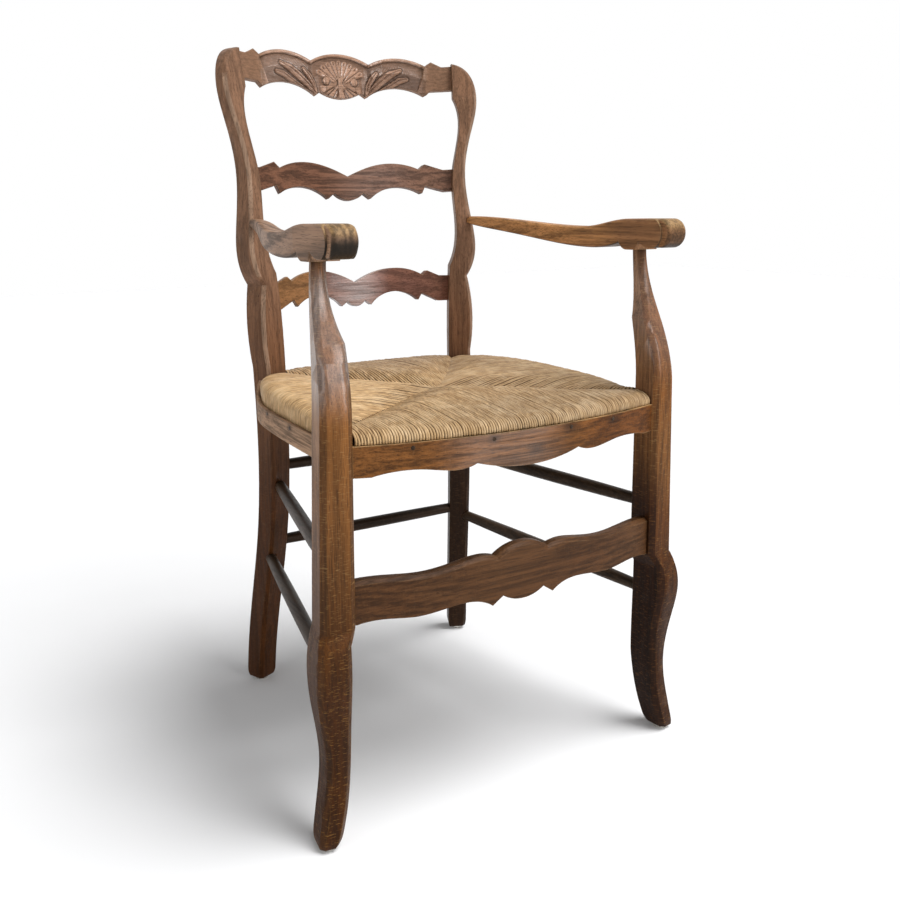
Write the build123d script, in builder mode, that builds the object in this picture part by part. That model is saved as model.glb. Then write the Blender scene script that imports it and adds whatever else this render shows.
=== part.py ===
from build123d import *
import math
import os

os.makedirs("parts", exist_ok=True)

# Rush seat armchair, millimetres, floor at z = 0, facing -Y, mirrored about x = 0.

# Middle of the chair's depth lies this far behind the reference line of the seat plan
middle_back = 7.13
reach = 420.0
fit = 0.3
snug = 0.15

# Feet
glide_height = 5.0
glide_radius = 9.5
glide_edge = 2.0
nail_radius = 1.4
nail_length = 9.0

# Back posts, sawn from square stock and set turned in plan
back_turn = 25.0
back_in_foot = 56.5
back_out_foot = 86.0
back_front_foot = 242.0
back_rear_foot = 270.0
back_foot = (71.25, 256.0)
seat_line = 480.0
back_rise = 429.5
back_in_seat = 55.0
back_out_seat = 88.5
back_front_seat = 199.0
back_rear_seat = 229.0
back_chamfer = 4.5

# Front posts: leg with knee, square seat block, swept arm support
front_turn = -7.0
front_in_seat = 179.0
front_out_seat = 214.0
front_in_knee = 181.0
front_out_knee = 220.5
front_face = -241.5
front_back = -207.5
front_foot = (219.3, -234.0)
knee_z = 252.0
knee_shoulder_z = 235.0
support_cusp = 556.0
arm_seat_z = 640.0
front_chamfer = 6.0

# Bowed back slats, each at a share of the back's rise
slat_bow = 390.0
slat_thick = 10.5
slat_tenon = 6.0
tenon_long = 14.0
slat_lap = 9.0
slat_shoulder = 1.0
crest_share = 0.943
middle_share = 0.594
lower_share = 0.2305

# Arms
arm_in = 200.0
arm_out = 236.0
arm_rear = 153.0
roll_y = -216.0
roll_z = 660.7
roll_radius = 17.5
roll_inset = 2.5
roll_round = 6.0
neck = (197.6, -194.0)
arm_round = 4.5
arm_round_from = -150.0
arm_edge_least = 25.0
post_tenon = 8.0
post_tenon_long = 12.0

# Seat plan: sides of two arcs
side_far = 218.0
side_far_y = -130.0
side_bow = 2170.0
side_join = 4.2
side_rear_bow = 300.0
strip_thick = 5.0
strip_low = 423.0
strip_top = 448.0
strip_rear_top = 468.0
apron_bow = 741.0
apron_front = -241.0
apron_thick = 9.0
apron_top = 450.0
apron_half = 214.0
rail_low = 436.0
rail_high = 454.0
rail_depth = 15.0
side_rail_wide = 12.0
side_rail_front = -184.0
side_rail_rear = 160.0
front_rail_half = 207.0
rush_wrap = 3.5
rush_low = 431.0
rush_round = 9.0
rush_back = 186.0
rush_back_half = 132.0
rush_front_half = 204.0
rush_set_back = 1.5
channel_half = 240.0
channel_front = -190.0
channel_rear = 165.0
pocket = 65.0
pocket_slack = 2.5
skirt = 20.0
back_rail_y = 171.0
back_rail_deep = 16.0
back_rail_half = 139.0
back_rail_rise = 10.0
strip_front = -172.0
strip_rear = 152.0

# Stretchers
board_bow = 1046.0
board_front = -229.0
board_thick = 13.0
board_half = 208.0
board_bevel = 4.0
board_bevel_above = 290.0
side_rung_middle = 9.2
back_rung_middle = 8.5
rung_end = 7.2
rung_pin = 5.5
rung_seat = 12.0
plug = 9.0
back_upper_z = 335.5
back_lower_z = 221.5

# Heights of the side stretchers at the back and front posts, right side then left
side_upper_z = {1: (320.0, 316.5), -1: (310.0, 308.0)}
side_lower_z = {1: (209.0, 196.0), -1: (201.5, 182.0)}

# Stretcher ends, across and back in each post's own frame
side_upper_back = (66.0, 211.0)
side_upper_front = (196.0, -217.0)
side_lower_back = (76.0, 224.0)
side_lower_front = (200.0, -216.0)
back_upper_depth = 212.0
back_lower_depth = 222.0


def up(share):
    """Height at a share of the back's rise above the seat line."""
    return seat_line + back_rise * share


def turned(side, turn):
    """Front, flank and level planes of a post turned in plan; side +1 is right, -1 left."""
    c = math.cos(math.radians(turn))
    s = math.sin(math.radians(turn))
    middle_point = (0, -middle_back, 0)
    across = Vector(side * c, -s, 0)
    back = Vector(side * s, c, 0)
    up = Vector(0, 0, 1)
    front = Plane(origin=middle_point, x_dir=across, z_dir=across.cross(up))
    flank = Plane(origin=middle_point, x_dir=back, z_dir=back.cross(up))
    level = Plane(origin=middle_point, x_dir=across, z_dir=(0, 0, side))
    return front, flank, level


def bevelled(side, turn, inward):
    """Plane across a front arris, its x running out through that arris."""
    c = math.cos(math.radians(turn))
    s = math.sin(math.radians(turn))
    sense = -1 if inward else 1
    out = Vector(side * (sense * c - s), -sense * s - c, 0).normalized()
    return Plane(origin=(0, -middle_back, 0), x_dir=out, z_dir=out.cross(Vector(0, 0, 1)))


def on_post(side, turn, u, w, z):
    """Chair coordinates of a point in a turned post's own frame."""
    c = math.cos(math.radians(turn))
    s = math.sin(math.radians(turn))
    return Vector(side * (u * c + w * s), -u * s + w * c - middle_back, z)


def plan(side, z):
    """Level plane at height z, its x running outwards on the given side."""
    return Plane(origin=(0, -middle_back, z), x_dir=(side, 0, 0), z_dir=(0, 0, side))


def at_height(edges, z):
    """Sideways place of an outline at height z."""
    for edge in edges:
        low, high = (edge @ 0).Y, (edge @ 1).Y
        if min(low, high) - 1e-6 <= z <= max(low, high) + 1e-6:
            a, b = 0.0, 1.0
            for _ in range(40):
                m = (a + b) / 2
                if ((edge @ m).Y < z) == (high > low):
                    a = m
                else:
                    b = m
            return (edge @ a).X


def bevel_run(edges, faces, inward, cut, z0, z1):
    """Points along a chamfer between two outlines from z0 to z1."""
    sense = -1 if inward else 1
    nudge = 0.01
    run = []
    for i in range(6):
        z = z0 + (z1 - z0) * i / 5
        zi = min(max(z, z0 + nudge), z1 - nudge)
        d = (sense * at_height(edges, zi) - at_height(faces, zi) - cut) / math.sqrt(2)
        run.append((d, z))
    return run


def bevel_face(edges, faces, inward, cut, stops):
    """Face kept behind a chamfer that breaks at the given heights."""
    with BuildLine() as lines:
        runs = [bevel_run(edges, faces, inward, cut, a, b) for a, b in zip(stops, stops[1:])]
        for k, run in enumerate(runs):
            if k:
                run[0] = runs[k - 1][-1]
            Spline(*run)
        top, foot = runs[-1][-1], runs[0][0]
        Polyline(top, (top[0] - reach, top[1]), (top[0] - reach, foot[1]), foot)
    make_face(lines.edges())


def bowed_band(apex, bow, thick, half, toward):
    """Plan of a bowed board; toward is -1 when its ends come forward."""
    centre = apex + toward * bow
    turn = math.asin(half / bow)
    arcs = []
    with BuildLine() as lines:
        for r in (bow, bow - toward * thick):
            x = r * math.sin(turn)
            y = centre - toward * r * math.cos(turn)
            ThreePointArc((-x, y), (0, centre - toward * r), (x, y))
            arcs.append((x, y))
        Line(arcs[0], arcs[1])
        Line((-arcs[0][0], arcs[0][1]), (-arcs[1][0], arcs[1][1]))
    make_face(lines.edges())


def side_curve(inset, front_y, rear_y):
    """Points of the seat's side at an inset: front, middle, joint, middle, rear."""
    centre = (side_far - side_bow, side_far_y)
    turn = math.radians(side_join)
    joint = (centre[0] + side_bow * math.cos(turn), centre[1] + side_bow * math.sin(turn))
    rear_centre = (joint[0] - side_rear_bow * math.cos(turn), joint[1] - side_rear_bow * math.sin(turn))
    points = []
    for c, r, ys in (
        (centre, side_bow - inset, (front_y, front_y / 2)),
        (centre, side_bow - inset, (centre[1] + (side_bow - inset) * math.sin(turn),)),
        (rear_centre, side_rear_bow - inset, (rear_y * 0.7, rear_y)),
    ):
        for y in ys:
            points.append((c[0] + math.sqrt(r**2 - (y - c[1]) ** 2), y))
    return points


def side_band(inset, thick, front_y, rear_y):
    """Plan of a bent piece following the seat's side."""
    outer = side_curve(inset, front_y, rear_y)
    inner = side_curve(inset + thick, front_y, rear_y)
    with BuildLine() as lines:
        for curve in (outer, inner):
            ThreePointArc(*curve[:3])
            ThreePointArc(*curve[2:])
        Line(outer[0], inner[0])
        Line(outer[-1], inner[-1])
    make_face(lines.edges())


def slat_depth(slat):
    """Depth in the post's frame at which a slat's middle meets the post."""
    c = math.cos(math.radians(back_turn))
    s = math.sin(math.radians(back_turn))
    centre = slat["y"] - slat_bow
    return centre * c + math.sqrt((slat_bow + slat_thick / 2) ** 2 - (slat["face"] + centre * s) ** 2)


def pin(start, end, radius, mode=Mode.ADD):
    """Round bar from start to end."""
    run = end - start
    with BuildSketch(Plane(origin=start, z_dir=run)) as round_end:
        Circle(radius)
    extrude(round_end.sketch, amount=run.length, mode=mode)


def turned_bar(start, end, middle_radius):
    """Turned bar from start to end, stouter in the middle."""
    run = end - start
    half = run.length / 2
    with BuildSketch(Plane(origin=start, x_dir=run, z_dir=run.cross(Vector(0, 0, 1)))) as outline:
        with BuildLine() as lines:
            ThreePointArc((0, rung_end), (half, middle_radius), (2 * half, rung_end))
            Polyline((2 * half, rung_end), (2 * half, 0), (0, 0), (0, rung_end))
        make_face(lines.edges())
    revolve(outline.sketch, axis=Axis(start, run))


def block(low, high, mode=Mode.ADD):
    """Square block between two corners of the chair frame."""
    size = [b - a for a, b in zip(low, high)]
    with BuildSketch(Plane(origin=((low[0] + high[0]) / 2, (low[1] + high[1]) / 2, low[2]))) as foot_print:
        Rectangle(size[0], size[1])
    extrude(foot_print.sketch, amount=size[2], mode=mode)


def slat_block(side, slat, slack, start, end, mode):
    """Tenon of a slat between two distances past the post's face, widened by slack."""
    flank = turned(side, back_turn)[1]
    with BuildSketch(flank.offset(side * (slat["face"] + start))) as cheek:
        with Locations((slat_depth(slat), slat["z"])):
            Rectangle(slat_tenon + 2 * slack, slat["tall"] + 2 * slack)
    extrude(cheek.sketch, amount=side * (end - start), mode=mode)


def tenon_block(side, tenon, slack, mode):
    """Square tenon of a rail from (x0, x1), (y0, y1), (z0, z1) on the given side."""
    (x0, x1), (y0, y1), (z0, z1) = tenon
    low = (min(side * x0, side * x1) - slack, y0 - middle_back - slack, z0 - slack)
    high = (max(side * x0, side * x1) + slack, y1 - middle_back + slack, z1 + slack)
    block(low, high, mode)


def leaning(slat):
    """Front and plan planes of a slat leaning back."""
    c = math.cos(math.radians(slat["lean"]))
    s = math.sin(math.radians(slat["lean"]))
    centre = (0, slat["y"] - middle_back, slat["z"])
    face = Plane(origin=centre, x_dir=(1, 0, 0), z_dir=(0, -c, s))
    top = Plane(origin=centre, x_dir=(1, 0, 0), z_dir=(0, s, c))
    return face, top


def crest_outline():
    """Three humps above, teeth beside the end blocks, shell lobe below."""
    with BuildLine() as lines:
        ThreePointArc((0, 33), (27, 29), (46.5, 20.2))
        ThreePointArc((46.5, 20.2), (88, 30.2), (132, 17.5))
        Polyline((132, 17.5), (140.7, 23.3), (155, 15.2), (200, 15.2), (200, -20), (137.6, -19.5),
                 (130.4, -26))
        ThreePointArc((130.4, -26), (88, -12.8), (41, -28.2))
        Line((41, -28.2), (32.2, -22))
        ThreePointArc((32.2, -22), (16, -28.4), (0, -30.4))
        mirror(about=Plane.YZ)
    make_face(lines.edges())


def middle_outline():
    """Two humps meeting in a notch, teeth, lobe below."""
    with BuildLine() as lines:
        Spline((0, 6.6), (21, 16), (49.4, 24.1), (72, 25.6), (112.5, 15.2))
        Polyline((112.5, 15.2), (121.3, 22.8), (147, 13), (200, 13), (200, -19), (150, -19.5), (120, -9.5))
        Line((120, -9.5), (114.5, -20.6))
        ThreePointArc((114.5, -20.6), (78, -9.6), (34.5, -26))
        Line((34.5, -26), (23.3, -17.5))
        ThreePointArc((23.3, -17.5), (12, -25.6), (0, -28))
        mirror(about=Plane.YZ)
    make_face(lines.edges())


def lower_outline():
    """As the middle slat, with shorter humps and deeper ends."""
    with BuildLine() as lines:
        Spline((0, 7.5), (22.4, 18.7), (43.5, 25), (66, 27), (107, 14.5))
        Polyline((107, 14.5), (114.5, 20.8), (131, 12.7), (200, 10), (200, -27), (130, -26), (105, -13))
        Line((105, -13), (99, -22.8))
        ThreePointArc((99, -22.8), (60, -8.3), (24, -26.4))
        Line((24, -26.4), (14, -19.3))
        ThreePointArc((14, -19.3), (7.5, -25.6), (0, -27.7))
        mirror(about=Plane.YZ)
    make_face(lines.edges())


# Depth, lean, post face, tenon height and half length of each slat
crest = dict(z=up(crest_share), y=240.0, lean=8.5, face=66.9, tall=24.0, half=172.0)
middle = dict(z=up(middle_share), y=221.0, lean=8.0, face=65.0, tall=22.0, half=166.0)
lower = dict(z=up(lower_share), y=203.4, lean=4.0, face=56.3, tall=26.0, half=156.0)
back_height = up(1)
back_cusp = up(0.263)

side_view = Plane(origin=(0, -middle_back, 0), x_dir=(0, 1, 0), z_dir=(1, 0, 0))
front_view = Plane(origin=(0, -middle_back, 0), x_dir=(1, 0, 0), z_dir=(0, -1, 0))
hands = ((1, "right"), (-1, "left"))


def side_rungs(side):
    """Ends of the two side stretchers, each run a seat's depth into its posts."""
    upper = (on_post(side, back_turn, *side_upper_back, side_upper_z[side][0]),
             on_post(side, front_turn, *side_upper_front, side_upper_z[side][1]))
    low = (on_post(side, back_turn, *side_lower_back, side_lower_z[side][0]),
           on_post(side, front_turn, *side_lower_front, side_lower_z[side][1]))
    return upper, low


def back_rungs():
    """Ends of the two back stretchers."""
    ends = []
    for z, w in ((back_upper_z, back_upper_depth), (back_lower_z, back_lower_depth)):
        right = on_post(1, back_turn, back_in_seat + rung_seat, w, z)
        ends.append((Vector(-right.X, right.Y, z), right))
    return ends


front_rail_tenon = ((190.0, 216.0), (-197.0, -189.0), (446.0, 453.0))
side_front_tenon = ((203.6, 208.6), (-192.0, -160.0), (437.0, 444.0))
side_rear_tenon = ((155.5, 161.5), (145.0, 162.0), (440.0, 449.0))
back_rail_tenon = ((124.0, 152.0), (167.0, 175.0), (452.0, 461.0))
board_tenon = ((192.0, 219.0), (-206.0, -199.0), (264.0, 288.0))
arm_tenon = ((168.5, 175.5), (130.0, 167.0), (672.5, 679.5))

posts = {}
for side, hand in hands:
    front, flank, level = turned(side, back_turn)
    with BuildPart() as back_post:
        with BuildSketch(front):
            with BuildLine():
                Line((back_out_foot, glide_height), (back_in_foot, glide_height))
                Line((back_in_foot, glide_height), (back_in_seat, seat_line))
                Spline((back_in_seat, seat_line), (55.6, up(0.151)), (58, up(0.298)))
                Spline((58, up(0.298)), (68.1, up(0.3725)), (67, up(0.512)), (64.8, up(0.6)),
                       (71.1, up(0.6985)), (76.6, up(0.796)), (67.5, up(0.88)))
                Line((67.5, up(0.88)), (66.7, back_height))
                high = Spline((66.7, back_height), (92, up(0.968)), (104, up(0.88)), (94, up(0.757)),
                              (84.5, up(0.629)), (92.5, up(0.4657)), (98.1, up(0.3725)), (84.3, back_cusp))
                mid = Spline((84.3, back_cusp), (91.6, up(0.158)), (back_out_seat, seat_line))
                low = Line((back_out_seat, seat_line), (back_out_foot, glide_height))
            make_face()
        extrude(amount=reach, both=True)
        with BuildSketch(flank):
            with BuildLine():
                face = Spline((back_front_foot, glide_height), (223, 140), (207, 230), (198, 330),
                              (back_front_seat, seat_line), (204, up(0.2328)), (222, up(0.5588)),
                              (238, up(0.838)), (251.5, back_height))
                Line((251.5, back_height), (269, back_height))
                Spline((269, back_height), (258, up(0.86)), (253.5, up(0.745)), (248, up(0.57)),
                       (236, up(0.2328)), (back_rear_seat, seat_line), (227, 330), (236, 230), (252, 140),
                       (back_rear_foot, glide_height))
                Line((back_rear_foot, glide_height), (back_front_foot, glide_height))
            make_face()
        extrude(amount=reach, both=True, mode=Mode.INTERSECT)
        with BuildSketch(bevelled(side, back_turn, False)):
            bevel_face((low, mid, high), (face,), False, back_chamfer,
                       (glide_height, seat_line, back_cusp, up(0.3725), up(0.629), up(0.88), back_height))
        extrude(amount=reach, both=True, mode=Mode.INTERSECT)
        for slat in (crest, middle, lower):
            slat_block(side, slat, snug, -slat_lap, tenon_long + fit, Mode.SUBTRACT)
        for start, end in (*side_rungs(side), *back_rungs()):
            pin(start, end, rung_pin + snug, Mode.SUBTRACT)
        for tenon in (side_rear_tenon, back_rail_tenon, arm_tenon):
            tenon_block(side, tenon, snug, Mode.SUBTRACT)
        foot = on_post(side, back_turn, *back_foot, glide_height)
        pin(foot, foot + Vector(0, 0, nail_length + fit), nail_radius + snug, Mode.SUBTRACT)
    back_post.part.label = f"back_post_{hand}"
    posts["back", hand] = back_post.part
    export_step(back_post.part, f"parts/back_post_{hand}.step")

    front, flank, level = turned(side, front_turn)
    with BuildPart() as front_post:
        with BuildSketch(front):
            with BuildLine():
                Line((232, glide_height), (206.5, glide_height))
                in_leg = Spline((206.5, glide_height), (197, 40), (190, 95), (188.5, 150),
                                (188.5, knee_shoulder_z))
                in_knee = Line((188.5, knee_shoulder_z), (front_in_knee, knee_z))
                in_block = Line((front_in_knee, knee_z), (front_in_seat, seat_line))
                in_mid = Spline((front_in_seat, seat_line), (178.5, 530), (178.5, support_cusp))
                in_top = Spline((178.5, support_cusp), (187.4, 590), (190, 625), (189.6, arm_seat_z))
                Line((189.6, arm_seat_z), (205.7, arm_seat_z))
                out_top = Spline((205.7, arm_seat_z), (209.3, 580), (front_out_seat, seat_line))
                out_block = Line((front_out_seat, seat_line), (front_out_knee, knee_z))
                out_leg = Spline((front_out_knee, knee_z), (227.8, 208), (224.6, 157), (217.4, 98),
                                 (224.2, 45), (232, glide_height))
            make_face()
        extrude(amount=reach, both=True)
        with BuildSketch(flank):
            with BuildLine():
                face_leg = Spline((-249, glide_height), (-245.5, 40), (-241, 100), (-245.5, 165),
                                  (-252.5, 212), (front_face, knee_z))
                face_block = Line((front_face, knee_z), (front_face, seat_line))
                face_top = Spline((front_face, seat_line), (-235, 520), (-223, 555), (-209, 590),
                                  (-202, 620), (-200.5, arm_seat_z))
                Line((-200.5, arm_seat_z), (-187.5, arm_seat_z))
                Spline((-187.5, arm_seat_z), (-189.5, 610), (-199, 555), (front_back, seat_line))
                Line((front_back, seat_line), (-204, 110))
                Spline((-204, 110), (-212, 42), (-219, glide_height))
                Line((-219, glide_height), (-249, glide_height))
            make_face()
        extrude(amount=reach, both=True, mode=Mode.INTERSECT)
        faces = (face_leg, face_block, face_top)
        for inward, edges, stops in (
            (False, (out_leg, out_block, out_top), (glide_height, knee_z, seat_line, arm_seat_z)),
            (True, (in_leg, in_knee, in_block, in_mid, in_top),
             (glide_height, knee_shoulder_z, knee_z, seat_line, support_cusp, arm_seat_z)),
        ):
            with BuildSketch(bevelled(side, front_turn, inward)):
                bevel_face(edges, faces, inward, front_chamfer, stops)
            extrude(amount=reach, both=True, mode=Mode.INTERSECT)
        for start, end in side_rungs(side):
            pin(start, end, rung_pin + snug, Mode.SUBTRACT)
        for tenon in (front_rail_tenon, side_front_tenon, board_tenon):
            tenon_block(side, tenon, snug, Mode.SUBTRACT)
        with BuildSketch(level.offset(side * arm_seat_z)):
            with Locations(neck):
                Rectangle(post_tenon, post_tenon)
        extrude(amount=side * post_tenon_long)
        foot = on_post(side, front_turn, *front_foot, glide_height)
        pin(foot, foot + Vector(0, 0, nail_length + fit), nail_radius + snug, Mode.SUBTRACT)
    front_post.part.label = f"front_post_{hand}"
    posts["front", hand] = front_post.part
    export_step(front_post.part, f"parts/front_post_{hand}.step")

for name, slat, outline in (
    ("crest_rail", crest, crest_outline),
    ("middle_slat", middle, middle_outline),
    ("lower_slat", lower, lower_outline),
):
    face, top = leaning(slat)
    with BuildPart() as back_slat:
        with BuildSketch(top):
            bowed_band(0, slat_bow, slat_thick, slat["half"], -1)
        extrude(amount=reach, both=True)
        with BuildSketch(face):
            outline()
        extrude(amount=reach, both=True, mode=Mode.INTERSECT)
        for side, hand in hands:
            add(posts["back", hand], mode=Mode.SUBTRACT)
            slat_block(side, slat, fit, slat_shoulder, reach, Mode.SUBTRACT)
            slat_block(side, slat, 0, -slat_lap, tenon_long, Mode.ADD)
    back_slat.part.label = name
    export_step(back_slat.part, f"parts/{name}.step")

for side, hand in hands:
    with BuildPart() as arm:
        with BuildSketch(plan(side, arm_seat_z)):
            with BuildLine():
                Spline((167, arm_rear), (171, 110), (181, 50), (193, -5), (199, -50), (arm_in, -100))
                Line((arm_in, -100), (arm_in, -240))
                Line((arm_in, -240), (arm_out, -240))
                Line((arm_out, -240), (arm_out, -140))
                Spline((arm_out, -140), (231, -80), (219, -5), (204, 50), (187, 110), (179, arm_rear))
                Line((179, arm_rear), (167, arm_rear))
            make_face()
        extrude(amount=reach, both=True)
        with BuildSketch(side_view):
            with BuildLine():
                Spline((arm_rear, 682), (100, 680.3), (50, 676), (0, 671.3), (-50, 668.6), (-95, 669.8),
                       (-135, 676), (-165, 678.2))
                Line((-165, 678.2), (-207, 678.2))
                ThreePointArc((-207, 678.2), (-223, 660.5), (-212, 643.4))
                ThreePointArc((-212, 643.4), (-196, 644.3), (-183.3, 650.6))
                Polyline((-183.3, 650.6), (-178.5, arm_seat_z), (-161, arm_seat_z))
                ThreePointArc((-161, arm_seat_z), (-153, 643.3), (-148, 649.3))
                Spline((-148, 649.3), (-130, 644.3), (-80, 641), (-40, 643.4), (10, 650), (60, 657.8),
                       (110, 664.3), (arm_rear, 670.3))
                Line((arm_rear, 670.3), (arm_rear, 682))
            make_face()
        extrude(amount=reach, both=True, mode=Mode.INTERSECT)
        roll_centre = (0, roll_y - middle_back, roll_z)
        with BuildSketch(Plane(origin=roll_centre, x_dir=(side, 0, 0), z_dir=(0, -side, 0))):
            with BuildLine():
                a, b = arm_in + roll_inset, arm_out - roll_inset
                Polyline((a, roll_radius - roll_round), (a, 0), (b, 0), (b, roll_radius - roll_round))
                Line((a + roll_round, roll_radius), (b - roll_round, roll_radius))
                RadiusArc((a, roll_radius - roll_round), (a + roll_round, roll_radius), roll_round)
                RadiusArc((b - roll_round, roll_radius), (b, roll_radius - roll_round), roll_round)
            make_face()
        revolve(axis=Axis(roll_centre, (1, 0, 0)))
        arm_edges = [e for e in arm.edges() if e.length > arm_edge_least]
        fillet([e for e in arm_edges if (e @ 0.5).Y > arm_round_from], arm_round)
        add(posts["back", hand], mode=Mode.SUBTRACT)
        with BuildSketch(turned(side, front_turn)[2].offset(side * arm_seat_z)):
            with Locations(neck):
                Rectangle(post_tenon + 2 * snug, post_tenon + 2 * snug)
        extrude(amount=side * (post_tenon_long + fit), mode=Mode.SUBTRACT)
        xs, ys, zs = arm_tenon
        tenon_block(side, (xs, (ys[0], ys[1] - fit), zs), 0, Mode.ADD)
    arm.part.label = f"arm_{hand}"
    export_step(arm.part, f"parts/arm_{hand}.step")

with BuildPart() as apron:
    with BuildSketch(plan(1, apron_top)):
        bowed_band(apron_front, apron_bow, apron_thick, apron_half, 1)
    extrude(amount=reach, both=True)
    with BuildSketch(front_view):
        with BuildLine():
            Polyline((0, apron_top), (230, apron_top), (230, 417), (188, 416))
            Spline((188, 416), (160, 420.3), (130, 419.4), (102, 415.2), (87, 415), (69.6, 419.6))
            ThreePointArc((69.6, 419.6), (36, 412), (0, 409.3))
            mirror(about=Plane.YZ)
        make_face()
    extrude(amount=reach, both=True, mode=Mode.INTERSECT)
    for side, hand in hands:
        add(posts["front", hand], mode=Mode.SUBTRACT)
apron.part.label = "apron"
export_step(apron.part, "parts/apron.step")

with BuildPart() as front_board:
    with BuildSketch(plan(1, knee_z)):
        bowed_band(board_front, board_bow, board_thick, board_half, 1)
    extrude(amount=reach, both=True)
    with BuildSketch(front_view):
        with BuildLine():
            ThreePointArc((0, 314), (19, 311.3), (36, 302.6))
            Spline((36, 302.6), (58, 306), (90, 301.5), (130, 297.6), (172, 300.5), (203, 300.5))
            Polyline((203, 300.5), (230, 300.5), (230, 252.5), (204, 252.5))
            Spline((204, 252.5), (172, 254.2), (136, 250.8), (100, 254), (70, 255.5), (42.5, 245.3))
            Line((42.5, 245.3), (28.5, 254.8))
            ThreePointArc((28.5, 254.8), (15, 248.4), (0, 246.3))
            mirror(about=Plane.YZ)
        make_face()
    extrude(amount=reach, both=True, mode=Mode.INTERSECT)
    front_arris = front_board.faces().sort_by(SortBy.AREA)[-1].edges()
    chamfer([e for e in front_arris if e.center().Z > board_bevel_above], board_bevel)
    for side, hand in hands:
        add(posts["front", hand], mode=Mode.SUBTRACT)
        tenon_block(side, board_tenon, 0, Mode.ADD)
front_board.part.label = "front_stretcher"
export_step(front_board.part, "parts/front_stretcher.step")

rail_front = apron_front + apron_thick + fit + rush_wrap
with BuildPart() as front_rail:
    with BuildSketch(plan(1, rail_low)):
        bowed_band(rail_front, apron_bow, rail_depth, front_rail_half, 1)
    extrude(amount=rail_high - rail_low)
    for side, hand in hands:
        add(posts["front", hand], mode=Mode.SUBTRACT)
        tenon_block(side, side_front_tenon, fit, Mode.SUBTRACT)
        tenon_block(side, front_rail_tenon, 0, Mode.ADD)
front_rail.part.label = "seat_rail_front"
export_step(front_rail.part, "parts/seat_rail_front.step")

with BuildPart() as back_rail:
    block((-back_rail_half, back_rail_y - back_rail_deep / 2 - middle_back, rail_low + back_rail_rise),
          (back_rail_half, back_rail_y + back_rail_deep / 2 - middle_back, rail_high + back_rail_rise))
    for side, hand in hands:
        add(posts["back", hand], mode=Mode.SUBTRACT)
        tenon_block(side, back_rail_tenon, 0, Mode.ADD)
back_rail.part.label = "seat_rail_back"
export_step(back_rail.part, "parts/seat_rail_back.step")

rail_inset = strip_thick + fit + rush_wrap
for side, hand in hands:
    with BuildPart() as side_rail:
        with BuildSketch(plan(side, rail_low)):
            side_band(rail_inset, side_rail_wide, side_rail_front, side_rail_rear)
        extrude(amount=side * (rail_high - rail_low))
        add(posts["back", hand], mode=Mode.SUBTRACT)
        add(posts["front", hand], mode=Mode.SUBTRACT)
        for xs, ys, zs in (side_front_tenon, side_rear_tenon):
            tenon_block(side, (xs, (ys[0] + fit, ys[1] - fit), zs), 0, Mode.ADD)
    side_rail.part.label = f"seat_rail_{hand}"
    export_step(side_rail.part, f"parts/seat_rail_{hand}.step")

    with BuildPart() as strip:
        with BuildSketch(plan(side, strip_top)):
            side_band(0, strip_thick, strip_front, strip_rear)
        extrude(amount=reach, both=True)
        with BuildSketch(side_view):
            with BuildLine():
                Polyline((60, strip_top), (-190, strip_top), (-190, strip_low), (170, strip_low),
                         (170, strip_rear_top))
                Spline((60, strip_top), (110, strip_top + 6), (170, strip_rear_top))
            make_face()
        extrude(amount=reach, both=True, mode=Mode.INTERSECT)
        add(posts["back", hand], mode=Mode.SUBTRACT)
        add(posts["front", hand], mode=Mode.SUBTRACT)
    strip.part.label = f"side_strip_{hand}"
    export_step(strip.part, f"parts/side_strip_{hand}.step")

    for place, (start, end) in zip(("upper", "lower"), side_rungs(side)):
        with BuildPart() as rung:
            turned_bar(start, end, side_rung_middle)
            add(posts["back", hand], mode=Mode.SUBTRACT)
            add(posts["front", hand], mode=Mode.SUBTRACT)
            along = (end - start).normalized()
            pin(start, start + along * plug, rung_pin + fit, Mode.SUBTRACT)
            pin(end - along * plug, end, rung_pin + fit, Mode.SUBTRACT)
            pin(start + along * fit, end - along * fit, rung_pin)
        rung.part.label = f"side_stretcher_{place}_{hand}"
        export_step(rung.part, f"parts/side_stretcher_{place}_{hand}.step")

    for post, turn, (u, w) in (("back", back_turn, back_foot), ("front", front_turn, front_foot)):
        foot = on_post(side, turn, u, w, 0)
        with BuildPart() as glide:
            with BuildSketch(Plane(origin=foot)):
                Circle(glide_radius)
            extrude(amount=glide_height)
            fillet(glide.edges().group_by(Axis.Z)[0], glide_edge)
            pin(foot, foot + Vector(0, 0, glide_height + nail_length), nail_radius)
        glide.part.label = f"glide_{post}_{hand}"
        export_step(glide.part, f"parts/glide_{post}_{hand}.step")

for place, (start, end) in zip(("upper", "lower"), back_rungs()):
    with BuildPart() as rung:
        turned_bar(start, end, back_rung_middle)
        for side, hand in hands:
            add(posts["back", hand], mode=Mode.SUBTRACT)
        pin(start, start + Vector(plug, 0, 0), rung_pin + fit, Mode.SUBTRACT)
        pin(end - Vector(plug, 0, 0), end, rung_pin + fit, Mode.SUBTRACT)
        pin(start + Vector(fit, 0, 0), end - Vector(fit, 0, 0), rung_pin)
    rung.part.label = f"back_stretcher_{place}"
    export_step(rung.part, f"parts/back_stretcher_{place}.step")

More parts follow.
